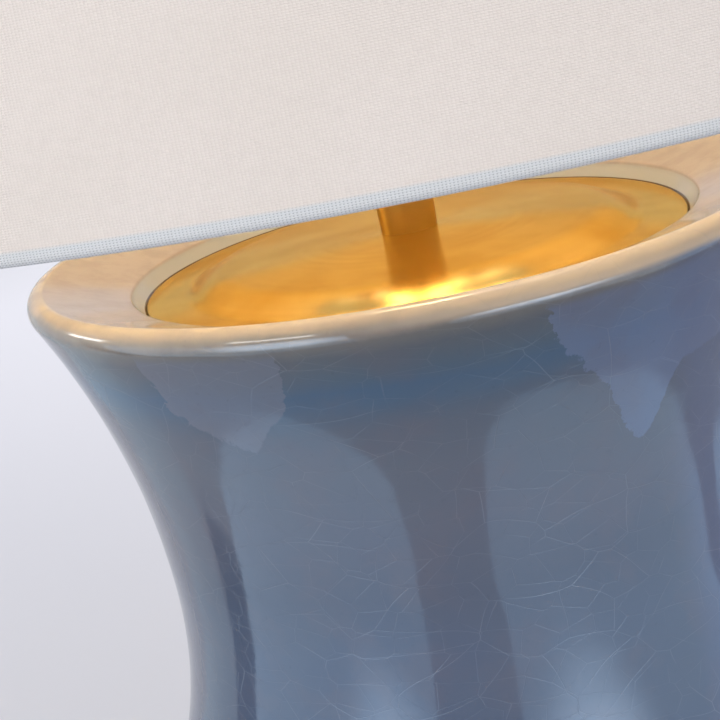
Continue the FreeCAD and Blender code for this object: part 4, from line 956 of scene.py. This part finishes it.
vase = turn_outline("vase", vase_corners, glaze, 300, wave_height=0.35, wave_size=42, seed=3)

# %% [markdown]
# The cord leaves through a hole in the back of the foot, lined by a rubber grommet. A plain cylinder cuts
# it with an exact Boolean.

# %% Drill the cord's hole
inlet_place, inlet_radius, inlet_depth = (0, 75, 12), 5.5, 30

drill_mesh = bpy.data.meshes.new("drill")
work = bmesh.new()
ends = {"radius1": mm(inlet_radius), "radius2": mm(inlet_radius), "depth": mm(inlet_depth)}
bmesh.ops.create_cone(work, cap_ends=True, segments=48, **ends)
work.to_mesh(drill_mesh)
work.free()
lying = Matrix.Rotation(math.pi / 2, 4, "X")
drill_mesh.transform(Matrix.Translation([mm(value) for value in inlet_place]) @ lying)
drill = into_scene("drill", drill_mesh)
cut_hole = vase.modifiers.new("cord_hole", "BOOLEAN")
cut_hole.operation, cut_hole.solver, cut_hole.object = "DIFFERENCE", "EXACT", drill
depsgraph = bpy.context.evaluated_depsgraph_get()
drilled = bpy.data.meshes.new_from_object(vase.evaluated_get(depsgraph), depsgraph=depsgraph)
vase.modifiers.remove(cut_hole)
vase.data = drilled
bpy.data.objects.remove(drill)
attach(vase, "lamp_base")
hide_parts("ceramic_body")
print("vase drilled:", len(vase.data.polygons), "faces")

# %% [markdown]
# ## The brass pan
#
# The cap is spun from sheet: a shallow dome whose brow rolls down to a flat margin with a thin, rounded
# edge. Each curve runs into the next without a kink, so an arc's end is given by its slope there. Spinning
# leaves the sheet slightly uneven, and the mirrored bulb breaks into soft pools on its small waves.

# %% Measure the pan
disc_radius, disc_height, sheet_brass, pipe_fit, crown = 77.3, 396.1, 0.9, 5.3, 402.3
shoulder = (64.0, 400.05)
brow_radius, roll_radius, hollow_radius = 53.0, 20.0, -7.0
steepest, flattest = math.radians(33), math.radians(1)


def centre_on_axis(one, two):
    """Centre, on the axis, of the arc through both points."""
    return 0.0, (one[0] ** 2 + one[1] ** 2 - two[0] ** 2 - two[1] ** 2) / (one[1] - two[1]) / 2


def on_arc(centre, radius, slope):
    """The point of an arc where it slopes down outwards by this angle; a hollow arc has a radius below 0."""
    return centre[0] + radius * math.sin(slope), centre[1] + radius * math.cos(slope)


def lowered(point):
    """The same point on the underside of the sheet."""
    return point[0], point[1] - sheet_brass


dome_centre = centre_on_axis(shoulder, (pipe_fit, crown))
dome_radius = math.dist(dome_centre, shoulder)
brow = on_arc(dome_centre, dome_radius, math.asin(brow_radius / dome_radius))
roll_centre = between(brow, dome_centre, roll_radius / dome_radius)
roll_end = on_arc(roll_centre, roll_radius, steepest)
hollow_centre = on_arc(roll_end, -hollow_radius, steepest)
hollow_end = on_arc(hollow_centre, hollow_radius, flattest)
edge_centre = (disc_radius - sheet_brass / 2, disc_height - sheet_brass / 2)
print("pan measured, dome radius", round(dome_radius), "mm")

# %% Turn the pan
pan_corners = [
    (pipe_fit, crown - sheet_brass, 1, 0),
    (*lowered(brow), 3, 0, lowered(dome_centre)),
    (*lowered(roll_end), 1, 0, lowered(roll_centre)),
    (*lowered(hollow_end), 1, 0, lowered(hollow_centre)),
    (edge_centre[0], disc_height - sheet_brass, 3, 0),
    (disc_radius, edge_centre[1], 0.12, 0, edge_centre),
    (edge_centre[0], disc_height, 0.12, 0, edge_centre),
    (*hollow_end, 1.2, 0.5),
    (*roll_end, 0.6, 0.7, hollow_centre),
    (*brow, 0.6, 1, roll_centre),
    (pipe_fit, crown, 1.2, 1, dome_centre),
]
pan = turn_outline("pan", pan_corners, spun_brass, 320, wave_height=0.13, wave_size=30, seed=7)
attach(pan, "lamp_base")
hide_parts("brass_cap")

# %% [markdown]
# ## The linen cover
#
# The cover is one strip of linen, glued round a plastic liner. Its edges are rolled round wire rings and
# tucked inside, and it meets itself in a lapped seam at the back. The outline is the section of the
# cloth itself, 0.4 mm thick, so the hems are real rolls.

# %% Turn the linen
thick, hem, tuck, liner, glue = 0.4, 1.6, 9.0, 0.5, 0.2
low, high = (206.0, 450.0 + hem), (190.0, 730.0 - hem)
backing = glue + liner + thick
slant = (low[0] - high[0]) / (high[1] - low[1])
tuck_low, tuck_high = low[0] - backing - slant * tuck, high[0] - backing
top_centre, low_centre = (high[0] - hem, high[1]), (low[0] - hem, low[1])
(top_x, top_z), (low_x, low_z) = top_centre, low_centre
linen_corners = [
    (top_x, top_z + hem, 0.4, 0.3, top_centre),
    (top_x - hem, top_z, 0.4, 0, top_centre),
    (top_x - hem, top_z - hem / 2, 0.8, 0),
    (tuck_high - thick, top_z - hem * 2, 1, 0),
    (tuck_high - thick, top_z + hem - tuck, 2, 0, None, 0.1),
    (tuck_high, top_z + hem - tuck, 1, 0, None, 0.1),
    (tuck_high, top_z - hem * 2, 2, 0),
    (top_x - hem + thick, top_z - hem / 2, 1, 0),
    (top_x - hem + thick, top_z, 0.8, 0),
    (top_x, top_z + hem - thick, 0.4, 0, top_centre),
    (top_x + hem - thick, top_z, 0.4, 0, top_centre),
    (low[0] - thick, low_z, 20, 0),
    (low_x, low_z - hem + thick, 0.4, 0, low_centre),
    (low_x - hem + thick, low_z, 0.4, 0, low_centre),
    (low_x - hem + thick, low_z + hem / 2, 0.8, 0),
    (tuck_low, low_z + hem * 2, 1, 0),
    (tuck_low, low_z - hem + tuck, 2, 0, None, 0.1),
    (tuck_low - thick, low_z - hem + tuck, 1, 0, None, 0.1),
    (tuck_low - thick, low_z + hem * 2, 2, 0),
    (low_x - hem, low_z + hem / 2, 1, 0),
    (low_x - hem, low_z, 0.8, 0),
    (low_x, low_z - hem, 0.4, 0, low_centre),
    (*low, 0.4, 0.3, low_centre),
    (*high, 4.5, 1),
]
cover = turn_outline(
    "linen_cover", linen_corners, linen, 480, wave_height=0.12, wave_size=55, seed=5, overlap=(0.4, 0.011)
)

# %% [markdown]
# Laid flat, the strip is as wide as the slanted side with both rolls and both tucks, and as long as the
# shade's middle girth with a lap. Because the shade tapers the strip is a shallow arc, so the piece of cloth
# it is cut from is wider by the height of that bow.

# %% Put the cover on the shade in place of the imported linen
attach(cover, "shade")
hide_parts("shade_linen")

# %% [markdown]
# ## The felt under the foot
#
# A ring of pressed felt keeps the foot off the table. Its edges are soft and it is nowhere quite flat, so it
# takes a small, close waviness.

# %% Turn the felt
felt_inner, felt_outer, felt_height, felt_foot, felt_width = 68.0, 77.0, 2.0, 0.15, 10
felt_corners = [
    (felt_inner, felt_foot, 1.5, 0.4, None, 0.6),
    (felt_outer, felt_foot, 1.5, 0.4, None, 0.6),
    (felt_outer, felt_height, 0.7, 1, None, 0.3),
    (felt_inner, felt_height, 1.5, 0, None, 0.3),
]
felt = turn_outline("felt_foot", felt_corners, felt_cloth, 300, wave_height=0.16, wave_size=2.2, seed=11)
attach(felt, "lamp_base")
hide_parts("felt_ring")

# %% [markdown]
# ## Finishes of the fittings
#
# The fittings keep their solids. Each node's object gets its material in its own slot, and nothing else
# about it changes.

# %% Dress the fittings
dress = {
    polished_brass: ["finial"],
    satin_brass: [
        "neck_tube", "neck_nut", "socket_cap", "socket_shell",
        "screw_shell", "centre_contact", "terminal_screws",
    ],
    harp_brass: ["harp", "harp_stud", "harp_saddle", "harp_ferrule_left", "harp_ferrule_right"],
    plated_steel: ["lamp_pipe", "base_plate", "base_washer", "base_nut", "spider_hub"],
    bright_steel: ["spider_arms", "shade_ring_bottom", "shade_ring_top"],
    rubber: ["cord_grommet"],
    phenolic: ["switch_body", "switch_stem", "switch_knob"],
    fibre_card: ["socket_insulator"],
    styrene: ["shade_liner"],
    bulb_light: ["bulb_glass"],
    rolled_aluminium: ["bulb_base"],
    dark_glass: ["bulb_insulator"],
    soldered_tin: ["bulb_tip"],
}
for finish, names in dress.items():
    for name in names:
        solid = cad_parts[name]
        for holder in solid.material_slots:
            holder.material = finish
        if not solid.material_slots:
            solid.data.materials.append(finish)
print("dressed", sum(len(names) for names in dress.values()), "nodes")
